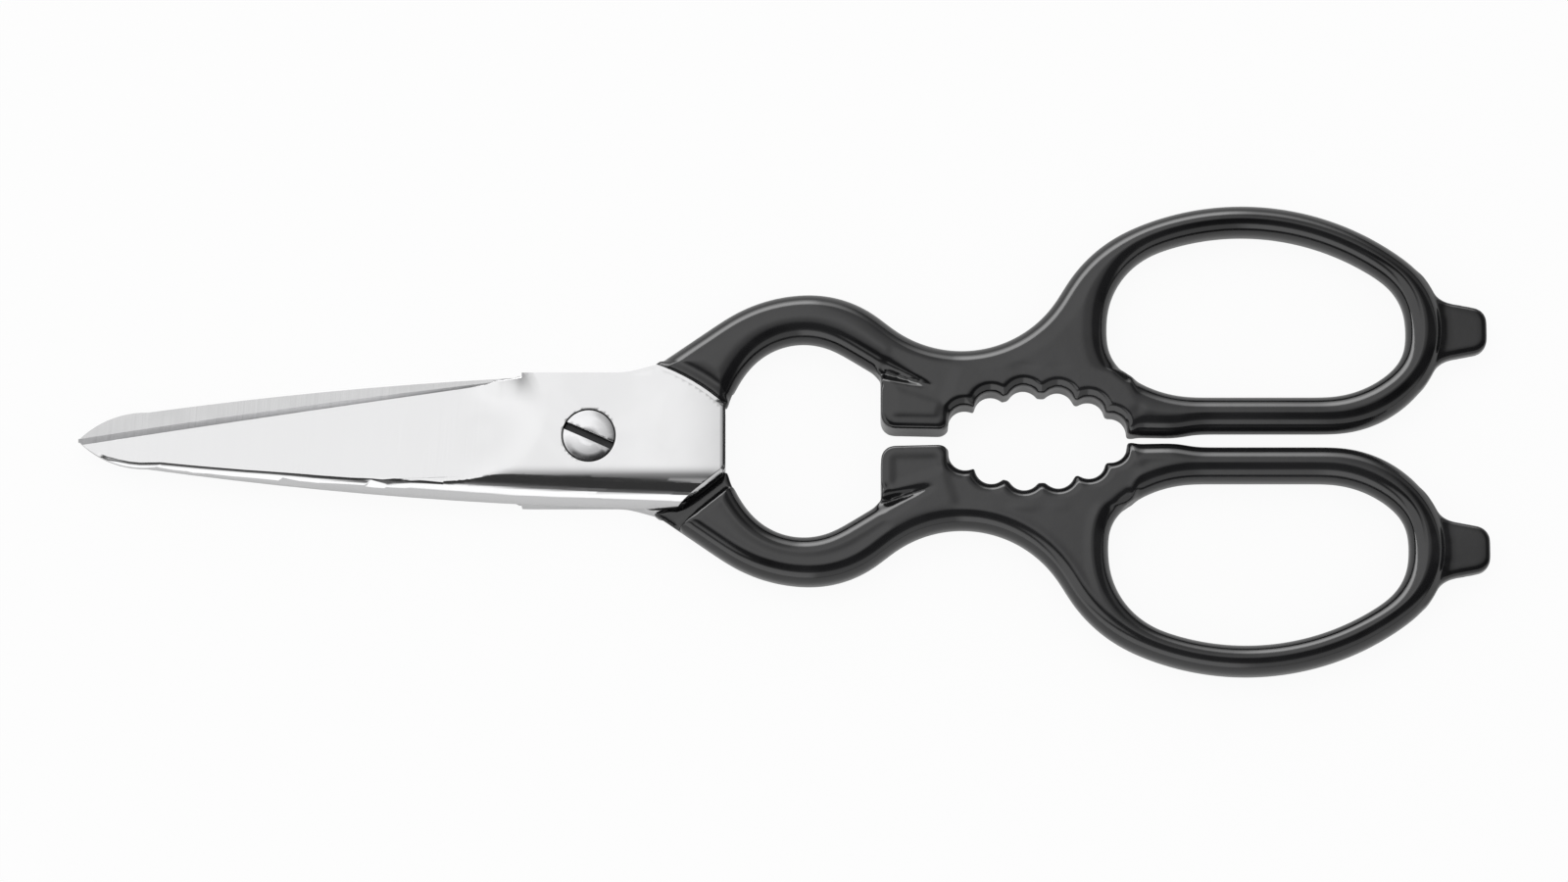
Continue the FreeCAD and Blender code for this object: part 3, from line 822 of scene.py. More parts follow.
@dataclass
class EnamelledBow:
    """One bow: shank, opener loop, jaw, cracker hollow and finger ring under their coat.

    A place in it is given from the pivot, x towards the ring and y from the middle line towards this bow,
    as if this were the front bow.
    """

    half: Half
    node: bpy.types.Object
    pivot: Vector
    finish: bpy.types.Material
    tree: bpy.types.NodeTree
    grain: float = 0.25 * MM  # of the even skin
    quick_grain: float = 0.5 * MM
    section_level: float = 1.75 * MM  # above the middle, where the outline is cut
    half_thickness: float = 3.35 * MM
    broken_edge: float = 1.5 * MM  # least depth that the rounding works over
    fade: float = 1.3  # times the rounding's depth, where it has run out
    lean: float = 0.3 * MM  # inward push for points on the outline itself
    outline_step: float = 0.35 * MM
    outline_passes: int = 18
    coat_passes: int = 6
    oval: Rim = Rim(2.5 * MM, 3.0 * MM)
    crown_width: float = 2.15 * MM  # of the ring's rim, which is rounded less far in
    crisp: Rim = Rim(0.4 * MM, 0.4 * MM)
    crisp_hold: float = 0.8  # share of the coat's evening that a crisp rim is spared
    jaw: Zone = Zone((40.0 * MM, 41.0 * MM), (78.0 * MM, 76.0 * MM), (10.2 * MM, 9.0 * MM))
    hollow: Zone = Zone((50.0 * MM, 50.8 * MM), (77.0 * MM, 76.2 * MM), (10.0 * MM, 9.4 * MM))
    ring: Zone = Zone((74.0 * MM, 80.0 * MM), (116.0 * MM, 108.0 * MM), (9.0 * MM, 20.0 * MM))
    ring_end: Span = (121.0 * MM, 121.6 * MM)  # past it the solid's form is kept
    tongue: Span = (117.5 * MM, 118.5 * MM)  # the flat tongue past the ring
    tongue_level: Span = (1.9 * MM, 1.6 * MM)
    step_turn: float = 51.2  # of the line where the bow steps over the other half's plate
    step_reach: float = 18.0 * MM  # of that line from the pivot
    step_edge: Span = (0.6 * MM, 0.2 * MM)
    step_level: Span = (0.9 * MM, 0.6 * MM)
    crease_start: tuple[float, float] = (41.3 * MM, 9.7 * MM)  # from the pivot
    crease_fall: float = 18.0
    crease_length: float = 7.8 * MM
    crease_depth: float = 1.9 * MM
    crease_wall: float = 1.4 * MM
    least_wall: float = 0.3  # share of the crease's wall at its far end
    crease_near: Span = (-0.3 * MM, 0.6 * MM)  # along it
    crease_far: Span = (3.0 * MM, 1.5 * MM)  # past its length
    crease_above: Span = (1.5 * MM, 0.5 * MM)  # past the rim's width
    crease_below: Span = (-2.2 * MM, -1.8 * MM)
    crease_level: Span = (-1.8 * MM, -1.4 * MM)  # from the face
    enamel_radius: float = 28.7 * MM  # of the curved line where the enamel ends
    enamel_depth: float = 16.8 * MM  # of its centre below the middle line
    enamel_line: Span = (1.3 * MM, 0.6 * MM)  # to either side of it

    def build(self) -> bpy.types.Object:
        """Skin the solid evenly, round its rims as the forged and coated bar has them, and dress it.

        Returns:
            The finished piece.
        """
        outline = self.draw_outline()
        piece = merged_copy(self.node, f"{self.half.prefix}_bow_coated")
        skin = piece.modifiers.new("even_skin", "REMESH")
        skin.mode = "VOXEL"
        skin.voxel_size = self.grain
        settle(piece)
        marks = self.mark_zones(piece.data)
        coat = piece.modifiers.new("coated_rim", "NODES")
        coat.node_group = self.tree
        values = {
            "Outline": outline,
            "Middle": self.pivot.z,
            "Half Thickness": self.half_thickness,
            "Broken Edge": self.broken_edge,
            "Fade": self.fade,
            "Lean": self.lean,
            "Outline Step": self.outline_step,
            "Outline Passes": self.outline_passes,
            "Coat Passes": self.coat_passes,
            "Finish": self.finish,
        }
        set_inputs(coat, values)
        settle(piece)
        bpy.data.objects.remove(outline)
        for name in marks:
            if name in piece.data.attributes:
                piece.data.attributes.remove(piece.data.attributes[name])
        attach(piece, self.half.value)
        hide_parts(self.node.name)
        return piece

    def place(self, point: Vector) -> tuple[float, float, float]:
        """Give a point's place from the pivot, as if this were the front bow."""
        facing = self.half.facing
        return point.x - self.pivot.x, (point.y - self.pivot.y) * facing, (point.z - self.pivot.z) * facing

    def draw_outline(self) -> bpy.types.Object:
        """Cut the solid beside its middle, above the tongue, and keep the cut's lines in the middle plane.

        Returns:
            The outline, as an object of edges alone.
        """
        shell = merged_shell(self.node)
        level = self.pivot.z + self.half.facing * self.section_level
        cut = bmesh.ops.bisect_plane(
            shell,
            geom=[*shell.verts, *shell.edges, *shell.faces],
            plane_co=(0.0, 0.0, level),
            plane_no=(0.0, 0.0, 1.0),
        )["geom_cut"]
        edges = [item for item in cut if isinstance(item, bmesh.types.BMEdge)]
        corners = sorted({corner for edge in edges for corner in edge.verts}, key=lambda corner: corner.index)
        number = {corner: index for index, corner in enumerate(corners)}
        points = [(corner.co.x, corner.co.y, self.pivot.z) for corner in corners]
        links = [(number[edge.verts[0]], number[edge.verts[1]]) for edge in edges]
        shell.free()
        mesh = bpy.data.meshes.new("outline")
        mesh.from_pydata(points, links, [])
        ease = mesh.attributes.new("ease", "FLOAT", "POINT")
        for index, point in enumerate(points):
            x, y, _ = self.place(Vector(point))
            ease.data[index].value = 1.0 - self.crispness(x, y)
        return new_piece(mesh)

    def crispness(self, x: float, y: float) -> float:
        """Tell how sharp the rim is at a place: 1 at the jaw and the enamel's edge, 0 away from them."""
        from_line = abs(math.hypot(x, y + self.enamel_depth) - self.enamel_radius)
        return max(self.jaw.share(x, y), eased(from_line, *self.enamel_line))

    def mark_zones(self, mesh: bpy.types.Mesh) -> list[str]:
        """Press in the crease, and store on each point how its rim is rounded and how far it stays put.

        Args:
            mesh: the evenly skinned bow.

        Returns:
            The names of what is stored.
        """
        zones = {"round_width": [], "round_rise": [], "hold": [], "flow": []}
        for vertex in mesh.vertices:
            x, y, z = self.place(vertex.co)
            crisp = self.crispness(x, y)
            width = self.oval.width + self.ring.share(x, y) * (self.crown_width - self.oval.width)
            crease, drop = self.crease(x, y)
            crease *= eased(abs(z), *moved(self.crease_level, self.half_thickness))
            if crease > 0.0:
                level = math.copysign(self.half_thickness - drop, vertex.co.z - self.pivot.z)
                vertex.co.z += crease * (self.pivot.z + level - vertex.co.z)
            zones["round_width"].append(width + crisp * (self.crisp.width - width))
            zones["round_rise"].append(self.oval.rise + crisp * (self.crisp.rise - self.oval.rise))
            zones["hold"].append(max(self.held(x, y, z), crease))
            zones["flow"].append(1.0 - self.crisp_hold * crisp)
        for name, values in zones.items():
            mesh.attributes.new(name, "FLOAT", "POINT").data.foreach_set("value", values)
        return list(zones)

    def held(self, x: float, y: float, z: float) -> float:
        """Tell how far a point keeps the solid's form, as in the hollow, under the step and on the tongue.

        Args:
            x: its place along the shears.
            y: its place across them.
            z: its height above the middle plane.

        Returns:
            A share from 0 to 1.
        """
        turn = math.radians(self.step_turn)
        from_step = x * math.cos(turn) + y * math.sin(turn) - self.step_reach
        under = eased(from_step, *self.step_edge) * eased(z, *self.step_level)
        tongue = eased(x, *self.tongue) * eased(abs(z), *self.tongue_level)
        return max(self.hollow.share(x, y), under, tongue, eased(x, *self.ring_end))

    def crease(self, x: float, y: float) -> tuple[float, float]:
        """Tell where the loop's inner rim runs on into the jaw as a crease, and how deep it lies there.

        Args:
            x: the place along the shears.
            y: the place across them.

        Returns:
            The share by which the crease shapes the face, from 0 to 1, and its depth below the face.
        """
        fall = math.radians(self.crease_fall)
        from_x, from_y = x - self.crease_start[0], y - self.crease_start[1]
        along = from_x * math.cos(fall) - from_y * math.sin(fall)
        above = from_x * math.sin(fall) + from_y * math.cos(fall)
        size = min(max(1.0 - along / self.crease_length, 0.0), 1.0)
        width = self.oval.width * size
        wall = self.crease_wall * (self.least_wall + (1.0 - self.least_wall) * size)
        zone = eased(along, *self.crease_near) * eased(along, *moved(self.crease_far, self.crease_length))
        zone *= eased(above, *moved(self.crease_above, self.oval.width)) * eased(above, *self.crease_below)
        if above >= width or above <= -wall:
            return zone, 0.0
        if above < 0.0:
            return zone, self.crease_depth * size * (1.0 + above / wall)
        share = 1.0 - above / width
        return zone, self.crease_depth * size * (1.0 - math.sqrt(1.0 - share * share))


@dataclass
class SteelPiece:
    """A machined steel piece: the solid's exact faces with its edges just broken."""

    name: str
    body: str
    node: bpy.types.Object
    finish: bpy.types.Material
    slot: str
    edge_width: float = 0.05 * MM
    edge_steps: int = 3
    edge_angle: float = 16.0  # turn from which an edge is broken
    flat_angle: float = 0.1  # turn up to which faces are one
    crease_angle: float = 28.0  # turn from which an edge shows as a line
    soft_angle: float = 80.2  # the same, for edges that are kept soft

    def build(self) -> bpy.types.Object:
        """Break the solid's sharp edges, shape it and dress it.

        Returns:
            The finished piece.
        """
        piece = merged_copy(self.node, self.name)
        piece.data.materials.append(self.finish)
        with opened(piece.data) as shell:
            self.mark_edges(shell)
        broken = piece.modifiers.new("broken_edges", "BEVEL")
        broken.width = self.edge_width
        broken.segments = self.edge_steps
        broken.limit_method = "WEIGHT"
        settle(piece)
        with opened(piece.data) as shell:
            self.shape(shell)
            self.mark_creases(shell)
        even = piece.modifiers.new("even_shading", "WEIGHTED_NORMAL")
        even.keep_sharp = True
        settle(piece)
        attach(piece, self.body)
        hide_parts(self.node.name)
        return piece

    def mark_edges(self, shell: bmesh.types.BMesh) -> None:
        """Make each flat region one face, and note on each edge how far it is rounded.

        Args:
            shell: the solid's merged mesh.
        """
        flat = math.radians(self.flat_angle)
        bmesh.ops.dissolve_limit(
            shell, angle_limit=flat, use_dissolve_boundaries=False, verts=shell.verts, edges=shell.edges
        )
        share = shell.edges.layers.float.new("bevel_weight_edge")
        for edge in shell.edges:
            sharp = len(edge.link_faces) == 2 and edge.calc_face_angle(0.0) >= math.radians(self.edge_angle)
            edge[share] = self.edge_share(edge) if sharp else 0.0

    def mark_creases(self, shell: bmesh.types.BMesh) -> None:
        """Shade the piece smoothly, apart from the edges that turn sharply.

        Args:
            shell: the piece's mesh.
        """
        for face in shell.faces:
            face.smooth = True
        for edge in shell.edges:
            turned = math.degrees(edge.calc_face_angle(0.0)) if len(edge.link_faces) == 2 else 180.0
            edge.smooth = turned < self.crease_angle or (turned < self.soft_angle and self.kept_soft(edge))

    def edge_share(self, edge: bmesh.types.BMEdge) -> float:
        """Give every sharp edge the same rounding."""
        return 1.0

    def kept_soft(self, edge: bmesh.types.BMEdge) -> bool:
        """Tell whether an edge is shaded smoothly whatever its angle: none is."""
        return False

    def shape(self, shell: bmesh.types.BMesh) -> None:
        """Leave the solid's form as it is."""


@dataclass
class PolishedBlade(SteelPiece):
    """A blade: its ground face runs out into a polished plate, with a rounded spine and a falling end.

    A place in it is given from the pivot, x towards the plate's end and y across, negative towards the
    spine, and a level is a height above the inner face, all as if this were the front blade.
    """

    half: Half = Half.FRONT
    pivot: Vector = field(default_factory=Vector)
    thickness: float = 3.8 * MM
    face_gap: float = 0.05 * MM  # from the pivot's level to the inner face
    plain_share: float = 0.35  # of the edge width, for a plain edge
    outer_share: float = 0.25  # of the thickness, above which a corner is on the outer face
    upward: float = 0.2  # least outward part of an upward face's normal
    edgeward: float = 0.25  # most that a polished face leans to the cutting edge
    seat: float = 4.0 * MM  # radius that is left flat round the screw
    plate_start: float = -3.9 * MM  # up to which the spine's edges are carved
    spine: float = 9.65 * MM  # from the middle line, beside the plate
    crown_start: float = 4.4 * MM  # where the crown begins to fall
    round_start: float = 6.0 * MM  # where it has reached its slope
    crown_slope: float = 0.1
    crown_ease: float = 1.0 * MM  # over which it levels off again
    crown_full: float = 7.2 * MM  # from where it fades out towards the spine
    crown_fade: Span = (-17.0 * MM, -10.0 * MM)
    end_start: float = 10.0 * MM
    end_curve: float = 1.6  # fall of the plate's end, times the square of the way along it
    strips_before: float = 3.5 * MM  # how far before the ground face's end they start
    strips_end: float = 19.0 * MM
    strips_side: float = 9.0 * MM  # how far they go towards the cutting edge
    beyond: float = 25.0 * MM  # a place past the plate's end
    grid: float = 0.4 * MM  # width of the crown's strips
    end_grid: float = 0.5 * MM
    ground_grid: float = 0.5 * MM
    ground_height: float = 3.28 * MM  # level of the ground face's plane at the pivot
    ground_fall_to_tip: float = 2.0
    ground_fall_to_edge: float = 7.0
    ground_end: tuple[float, float] = (-17.0 * MM, 3.6 * MM)  # centre of its round end
    ground_radius: float = 11.0 * MM
    ground_fade: Span = (-3.0 * MM, 4.0 * MM)  # from that centre
    on_plane: float = 0.02 * MM  # how near it a corner counts as on the plane
    blend_ends: tuple[float, float] = (-36.0 * MM, -4.0 * MM)  # between which levels are set afresh
    blend_sides: tuple[float, float] = (-3.8 * MM, 5.0 * MM)  # up to which, before and at the end
    blend_before: float = 3.6 * MM  # how far before the ground face's end the second holds
    rim_ends: tuple[float, float] = (-69.5 * MM, -26.0 * MM)
    rim_step: float = 1.5 * MM
    rim_width: float = 0.45 * MM
    rim_least: float = 0.4  # share of the rim's width at either end
    rim_tip: Span = (-71.5 * MM, -66.0 * MM)
    rim_heel: Span = (-28.0 * MM, -45.0 * MM)
    rim_strip: float = 0.32 * MM  # width of the strip that is scored beside the rim
    rim_fall: tuple[float, float] = (27.0, 42.0)  # at the heel and towards the tip
    rim_steepens: Span = (-30.0 * MM, -46.0 * MM)
    rim_runs_out: tuple[float, float] = (2.0 * MM, 1.5 * MM)  # from the tip and from the heel
    dome_radius: float = 3.6 * MM
    spine_centre: tuple[float, float] = (20.94 * MM, 590.03 * MM)  # of the circle that it follows
    spine_radius: float = 600.0 * MM
    rim_points: list[tuple[float, float]] = field(default_factory=list)  # along the spine

    def place(self, point: Vector) -> tuple[float, float, float]:
        """Give a point's place and level.

        Args:
            point: a point of the frame.

        Returns:
            Its place along and across the blade, and its level.
        """
        facing = self.half.facing
        level = (point.z - self.pivot.z) * facing - self.face_gap
        return point.x - self.pivot.x, (point.y - self.pivot.y) * facing, level

    def set_level(self, corner: bmesh.types.BMVert, level: float) -> None:
        """Move a corner up or down to a level."""
        corner.co.z = self.pivot.z + self.half.facing * (level + self.face_gap)

    def outer_corners(
        self, shell: bmesh.types.BMesh
    ) -> Iterator[tuple[bmesh.types.BMVert, float, float, float]]:
        """Find the corners of the outer face and the spine, away from the screw's seat.

        Args:
            shell: the blade's mesh.

        Yields:
            A corner, its place along and across the blade, and its level.
        """
        for corner in shell.verts:
            x, y, level = self.place(corner.co)
            if level > self.outer_share * self.thickness and math.hypot(x, y) > self.seat:
                yield corner, x, y, level

    def at_spine(self, edge: bmesh.types.BMEdge) -> bool:
        """Tell whether an edge lies between upward faces on the spine's side, short of the pivot.

        Args:
            edge: an edge of the blade.

        Returns:
            Whether it does.
        """
        x, y, _ = self.place((edge.verts[0].co + edge.verts[1].co) / 2)
        upward = all(face.normal.z * self.half.facing > self.upward for face in edge.link_faces)
        return upward and x < self.plate_start and y < 0.0

    def edge_share(self, edge: bmesh.types.BMEdge) -> float:
        """Round every sharp edge a little, but not where the ground face meets the spine, which is carved."""
        return 0.0 if self.at_spine(edge) else self.plain_share

    def kept_soft(self, edge: bmesh.types.BMEdge) -> bool:
        """Tell whether an edge is polished over: where the ground face meets the spine or runs out."""
        facing = self.half.facing
        return self.at_spine(edge) and all(face.normal.y * facing < self.edgeward for face in edge.link_faces)

    def shape(self, shell: bmesh.types.BMesh) -> None:
        """Score the outer face into narrow strips, and give them the levels of run-out, spine, rim and crown.

        Args:
            shell: the blade's mesh with its edges broken.
        """
        self.score_plate(shell)
        for corner, x, y, _ in self.outer_corners(shell):
            side = self.blend_sides[1 if x > self.ground_end[0] - self.blend_before else 0]
            if self.blend_ends[0] < x < self.blend_ends[1] and y < side:
                self.set_level(corner, min(self.run_out(x, y), self.dome_level(x, y)))
        self.score_rim(shell)
        for corner, x, y, level in self.outer_corners(shell):
            if y >= self.blend_sides[1]:
                level += self.lift(x, y, level)
            level -= self.rim_drop(x, y, level)
            self.set_level(corner, level - self.sink(x, y))

    def score_plate(self, shell: bmesh.types.BMesh) -> None:
        """Score the plate across and along, from where the ground face starts to run out.

        Args:
            shell: the blade's mesh.
        """
        start = self.ground_end[0] - self.strips_before
        for x in steps(start, self.strips_end, self.end_grid):
            self.score(shell, (x, 0.0), (1.0, 0.0))
        for y in steps(-self.crown_start, -self.spine, -self.grid):
            self.score(shell, (0.0, y), (0.0, 1.0), (self.crown_fade[0], self.beyond))
        for y in steps(-self.crown_start, self.strips_side, self.ground_grid):
            self.score(shell, (0.0, y), (0.0, 1.0), (start, self.beyond))

    def ground_level(self, x: float, y: float) -> float:
        """Give the level of the ground face's plane."""
        flat = self.ground_height + x * math.tan(math.radians(self.ground_fall_to_tip))
        return flat - y * math.tan(math.radians(self.ground_fall_to_edge))

    def run_out_share(self, x: float) -> float:
        """Rise from 0 on the ground face to 1 inside its round end."""
        return eased(x, *moved(self.ground_fade, self.ground_end[0]))

    def run_out(self, x: float, y: float) -> float:
        """Give the level of the ground face where it runs out in a round end, and of the plate past that.

        Args:
            x: the place along the blade.
            y: the place across it.

        Returns:
            The level.
        """
        from_end = math.hypot(max(x - self.ground_end[0], 0.0), y - self.ground_end[1])
        if from_end >= self.ground_radius and x >= self.ground_end[0]:
            return self.thickness
        flat = self.ground_level(x, y)
        share = eased(from_end, 0.0, self.ground_radius) * self.run_out_share(x)
        return flat + (self.thickness - flat) * share

    def lift(self, x: float, y: float, level: float) -> float:
        """Tell how far the ground face rises to run out into the plate, beside the blended part."""
        return self.run_out_share(x) * (self.run_out(x, y) - level) if level < self.thickness - HAIR else 0.0

    def dome_level(self, x: float, y: float) -> float:
        """Give the level of the rounded spine, and of the plate beside it.

        Args:
            x: the place along the blade.
            y: the place across it.

        Returns:
            The level.
        """
        across = self.spine_radius**2 - (x - self.spine_centre[0]) ** 2
        inward = self.dome_radius - y + self.spine_centre[1] - math.sqrt(across)
        if inward <= 0.0:
            return self.thickness
        rise = math.sqrt(self.dome_radius**2 - min(inward, self.dome_radius) ** 2)
        return self.thickness - self.dome_radius + rise

    def score_rim(self, shell: bmesh.types.BMesh) -> None:
        """Find the line where the ground face meets the spine, and score the ground face along it.

        Args:
            shell: the blade's mesh.
        """
        stations = steps(*self.rim_ends, self.rim_step)
        for station in stations:
            self.score(shell, (station, 0.0), (1.0, 0.0))
        for station in stations:
            met = [0.0]
            for corner in shell.verts:
                x, y, level = self.place(corner.co)
                if abs(x - station) < HAIR and abs(level - self.ground_level(x, y)) < self.on_plane:
                    met.append(y)
            self.rim_points.append((station, min(met)))
        for (low, low_y), (high, high_y) in zip(self.rim_points, self.rim_points[1:]):
            for offset in (0.0, self.rim_strip):
                start = low_y + self.rim_reach(low) + offset
                end = high_y + self.rim_reach(high) + offset
                self.score(shell, (low, start), (start - end, high - low), (low, high))

    def rim_reach(self, x: float) -> float:
        """Tell how far in from the spine the rim falls away: most near the tip, less at both ends.

        Args:
            x: the place along the blade.

        Returns:
            The distance.
        """
        reach = self.rim_width
        for span in (self.rim_tip, self.rim_heel):
            reach *= self.rim_least + (1.0 - self.rim_least) * eased(x, *span)
        return reach

    def rim_drop(self, x: float, y: float, level: float) -> float:
        """Tell how far the rim between the ground face and the spine lies below a level.

        Args:
            x: the place along the blade.
            y: the place across it.
            level: the level that is there now.

        Returns:
            The drop, or 0 away from the rim.
        """
        tip, heel = self.rim_ends
        if not tip <= x <= heel:
            return 0.0
        number = min(int((x - tip) / self.rim_step), len(self.rim_points) - 2)
        (low, low_y), (high, high_y) = self.rim_points[number], self.rim_points[number + 1]
        share = (x - low) / (high - low)
        start = low_y + share * (high_y - low_y)
        start += (1.0 - share) * self.rim_reach(low) + share * self.rim_reach(high)
        past = start - y
        if past <= 0.0:
            return 0.0
        fall = self.rim_fall[0] + (self.rim_fall[1] - self.rim_fall[0]) * eased(x, *self.rim_steepens)
        fallen = self.ground_level(x, start) - past * math.tan(math.radians(fall))
        from_tip, from_heel = self.rim_runs_out
        return max(level - fallen, 0.0) * eased(x, heel, heel - from_heel) * eased(x, tip, tip + from_tip)

    def sink(self, x: float, y: float) -> float:
        """Tell how far the crown and the falling end lie below the flat plate.

        Args:
            x: the place along the blade.
            y: the place across it.

        Returns:
            The depth.
        """
        full = eased(-y, self.spine, self.crown_full)
        span = self.round_start - self.crown_start
        past = -y - self.crown_start
        depth = 0.0
        if past > 0.0:
            rising = min(past, span)
            depth = self.crown_slope * rising * rising / (2.0 * span)
            easing = min(max(past - span, 0.0), self.crown_ease)
            depth += self.crown_slope * (easing - easing * easing / (2.0 * self.crown_ease))
            depth *= full * eased(x, *self.crown_fade)
        past_end = max(x - self.end_start, 0.0)
        return depth + self.end_curve * past_end * past_end * full

    def score(
        self,
        shell: bmesh.types.BMesh,
        place: tuple[float, float],
        across: tuple[float, float],
        kept_to: tuple[float, float] | None = None,
    ) -> None:
        """Cut the mesh along an upright plane, and keep both sides.

        Args:
            shell: the mesh.
            place: a place of the plane.
            across: the direction across the plane.
            kept_to: two places along the blade, to cut only the upward faces between them.
        """
        facing = self.half.facing
        faces = list(shell.faces)
        if kept_to:
            faces = [face for face in faces if face.normal.z * facing > self.upward]
            middles = [self.place(face.calc_center_median())[0] for face in faces]
            faces = [face for face, middle in zip(faces, middles) if kept_to[0] < middle < kept_to[1]]
        edges = {edge for face in faces for edge in face.edges}
        corners = {corner for face in faces for corner in face.verts}
        bmesh.ops.bisect_plane(
            shell,
            geom=[*corners, *edges, *faces],
            dist=0.1 * HAIR,
            plane_co=(self.pivot.x + place[0], self.pivot.y + place[1] * facing, 0.0),
            plane_no=(across[0], across[1] * facing, 0.0),
        )


# ---------------------------------------------------------------- stage


@dataclass
class Studio:
    """Pale floor, soft light and the camera.

    What polished faces reflect is given as bands: the angle from straight up, towards the back, and how
    bright the surround is there.
    """

    target: Vector
    elevation: float = 78.0
    lens: float = 200.0
    sensor: float = 36.0
    frame_width: float = 222.2 * MM  # what the camera takes in at the target
    farthest: float = 20.0  # that the camera sees
    floor_size: float = 4.0
    floor_level: float = -0.02 * MM
    floor_white: float = 0.93  # what the camera sees of the floor
    floor_grey: float = 0.86  # what the floor gives back of the light
    floor_shine: float = 0.18  # of that white, in polished faces
    ambient: float = 0.75
    reflected: tuple[tuple[float, float], ...] = (
        (-90.0, 0.6),
        (-83.0, 1.5),
        (-56.0, 1.5),
        (-46.0, 0.2),
        (-30.0, 0.04),
        (1.0, 0.04),
        (7.0, 0.85),
        (12.0, 1.35),
        (18.0, 1.3),
        (30.0, 1.2),
        (44.0, 1.3),
        (53.0, 5.2),
        (68.0, 5.5),
        (80.0, 2.6),
        (90.0, 1.3),
    )
    right: Span = (0.0, 0.1)  # X part of the direction, as in the next spans
    right_dimming: float = 0.5
    back: Span = (-0.5, -0.3)  # Y part
    far_right: Span = (0.12, 0.45)
    right_shade: float = 0.15
    left: Span = (-0.25, -0.45)
    left_back: Span = (-0.6, -0.4)  # Y part
    left_box: float = 1.3
    softbox_place: tuple[float, float, float] = (-0.16, 0.17, 0.62)
    softbox_sides: tuple[float, float] = (0.42, 0.42)
    softbox_power: float = 0.62

    def build(self) -> None:
        """Make the floor, the lights, the world and the camera."""
        bpy.context.scene.view_settings.view_transform = "Standard"
        self.make_floor()
        self.make_world()
        self.make_softbox()
        self.make_camera()

    def make_floor(self) -> None:
        """Make the pale floor, which shows white to the camera and keeps a soft shadow."""
        mesh = bpy.data.meshes.new("floor")
        half = self.floor_size / 2
        corners = ((-half, -half), (half, -half), (half, half), (-half, half))
        mesh.from_pydata([(*corner, self.floor_level) for corner in corners], [], [(0, 1, 2, 3)])
        material = bpy.data.materials.new("pale_floor")
        material.use_nodes = True
        material.node_tree.nodes.clear()
        sheet = NodeSheet(material.node_tree)
        paths = sheet.add("ShaderNodeLightPath")
        matt = sheet.add("ShaderNodeBsdfDiffuse", {"Color": (*[self.floor_grey] * 3, 1)})
        white = sheet.add("ShaderNodeEmission", {"Color": (1, 1, 1, 1), "Strength": 1.0})
        shiny = sheet.math("MAXIMUM", paths.outputs["Is Glossy Ray"], paths.outputs["Is Transmission Ray"])
        shiny = sheet.math("MULTIPLY", shiny, self.floor_shine)
        seen = sheet.math("MAXIMUM", paths.outputs["Is Camera Ray"], shiny)
        seen = sheet.math("MULTIPLY", seen, self.floor_white)
        mixed = sheet.add("ShaderNodeMixShader", {0: seen, 1: matt.outputs[0], 2: white.outputs[0]})
        sheet.add("ShaderNodeOutputMaterial", {"Surface": mixed.outputs[0]})
        mesh.materials.append(material)
        new_piece(mesh)

    def make_world(self) -> None:
        """Make a white surround that polished faces see as bands, bright behind and dark overhead."""
        world = bpy.data.worlds.new("studio")
        bpy.context.scene.world = world
        world.use_nodes = True
        world.node_tree.nodes.clear()
        sheet = NodeSheet(world.node_tree)
        paths = sheet.add("ShaderNodeLightPath")
        direction = sheet.add("ShaderNodeTexCoord").outputs["Generated"]
        parts = sheet.add("ShaderNodeSeparateXYZ", {"Vector": direction}).outputs
        lean = sheet.math("ARCTAN2", parts["Y"], parts["Z"])
        turned = sheet.ramp(lean, -math.pi / 2, math.pi / 2, smooth=False)
        bands = sheet.add("ShaderNodeValToRGB", {"Fac": turned})
        top = max(level for _, level in self.reflected)
        while len(bands.color_ramp.elements) < len(self.reflected):
            bands.color_ramp.elements.new(1.0)
        for element, (angle, level) in zip(bands.color_ramp.elements, self.reflected):
            element.position = angle / 180.0 + 0.5
            element.color = (level / top, level / top, level / top, 1.0)
        across = sheet.math("MULTIPLY", bands.outputs["Color"], top)
        right = sheet.ramp(parts["X"], *self.right, 1.0, self.right_dimming)
        far_right = sheet.ramp(parts["X"], *self.far_right, 0.0, 1.0 - self.right_shade)
        shade = sheet.math("MULTIPLY", sheet.ramp(parts["Y"], *self.back), far_right)
        across = sheet.math("MULTIPLY", across, right)
        across = sheet.math("MULTIPLY", across, sheet.math("SUBTRACT", 1.0, shade))
        left = sheet.math("MULTIPLY", sheet.ramp(parts["X"], *self.left), self.left_box)
        left = sheet.math("MULTIPLY", left, sheet.ramp(parts["Y"], *self.left_back))
        glow = sheet.math("MAXIMUM", across, left)
        seen = sheet.math("MAXIMUM", paths.outputs["Is Camera Ray"], paths.outputs["Is Transmission Ray"])
        plain = sheet.math("MAXIMUM", seen, self.ambient)
        levels = {"Factor": paths.outputs["Is Glossy Ray"], 2: plain, 3: glow}
        level = sheet.add("ShaderNodeMix", levels, data_type="FLOAT").outputs[0]
        surround = sheet.add("ShaderNodeBackground", {"Color": (1, 1, 1, 1), "Strength": level})
        sheet.add("ShaderNodeOutputWorld", {"Surface": surround.outputs[0]})

    def make_softbox(self) -> None:
        """Hang a rectangular softbox that looks straight down, and isn't seen in reflections."""
        lamp = bpy.data.lights.new("overhead_softbox", "AREA")
        lamp.shape = "RECTANGLE"
        lamp.size, lamp.size_y = self.softbox_sides
        lamp.energy = self.softbox_power
        box = bpy.data.objects.new("overhead_softbox", lamp)
        box.location = self.softbox_place
        box.visible_glossy = False
        bpy.context.scene.collection.objects.link(box)

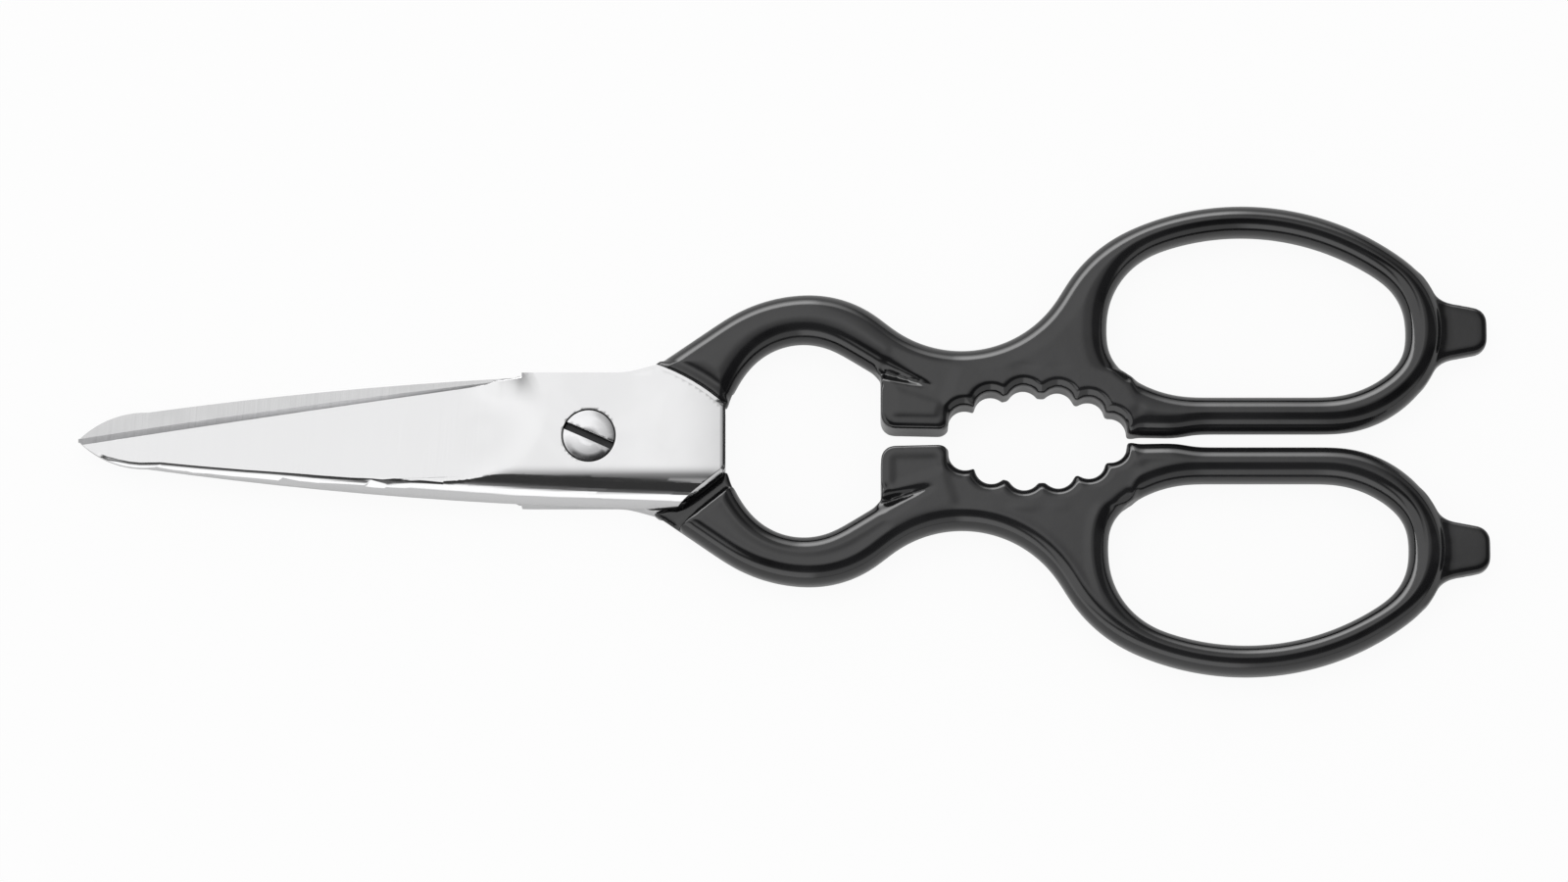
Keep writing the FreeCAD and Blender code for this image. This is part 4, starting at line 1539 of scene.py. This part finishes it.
    def make_camera(self) -> None:
        """Set the camera on the object's middle, from high above its -Y side."""
        camera = bpy.data.cameras.new("camera")
        camera.lens = self.lens
        camera.sensor_width = self.sensor
        camera.clip_end = self.farthest
        eye = bpy.data.objects.new("camera", camera)
        distance = self.frame_width * self.lens / self.sensor
        angle = math.radians(self.elevation)
        eye.location = self.target + distance * Vector((0.0, -math.cos(angle), math.sin(angle)))
        eye.rotation_euler = (math.radians(90.0 - self.elevation), 0.0, 0.0)
        bpy.context.scene.collection.objects.link(eye)
        bpy.context.scene.camera = eye


@dataclass
class Shears:
    """The whole pair of shears, from the frame's solids to the dressed pieces."""

    frame: dict
    blade_edge: float = 0.17 * MM
    screw_edge: float = 0.04 * MM
    screw_edge_angle: float = 30.0
    # levels below the screw's top between which the slot's painted shade fades out
    slot_depths: Span = (-0.75 * MM, -0.35 * MM)

    def build(self) -> None:
        """Build and dress both halves and the screw, and report each piece."""
        nodes = self.frame["nodes"]
        pivot = Vector(self.frame["joints"][0]["pos_m"])
        axis = (pivot.x, pivot.y)
        grinding, handling = grinding_group(), handling_group()
        enamel = BowEnamel("black_enamel", handling).build()
        tree = rounding_tree()
        pieces: list[EnamelledBow | SteelPiece] = []
        for half in Half:
            steel = BladeSteel(f"{half.prefix}_blade_steel", grinding, handling, axis, half.facing).build()
            pieces.append(EnamelledBow(half, nodes[f"{half.prefix}_bow"], pivot, enamel, tree))
            blade = PolishedBlade(
                f"{half.prefix}_blade_ground",
                half.value,
                nodes[f"{half.prefix}_blade"],
                steel,
                "blade_steel",
                edge_width=self.blade_edge,
                half=half,
                pivot=pivot,
            )
            pieces.append(blade)
        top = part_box("pivot_screw")[1][2]
        metal = ScrewSteel("screw_steel", handling, axis, moved(self.slot_depths, top)).build()
        screw = SteelPiece(
            "pivot_screw_turned",
            Half.REAR.value,
            nodes["pivot_screw"],
            metal,
            "screw_steel",
            edge_width=self.screw_edge,
            edge_angle=self.screw_edge_angle,
        )
        for piece in [*pieces, screw]:
            finished = piece.build()
            LOG.info("%s: %d faces", finished.name, len(finished.data.polygons))


def main() -> None:
    """Load the frame, build the shears and the studio; the build logs each finished piece's face count."""
    logging.basicConfig(level=logging.INFO, format="%(name)s: %(message)s")
    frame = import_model()
    Shears(frame).build()
    middle_z = float(frame["joints"][0]["pos_m"][2])
    Studio(Vector((AIM_X, 0.0, middle_z))).build()


if __name__ == "__main__":
    main()
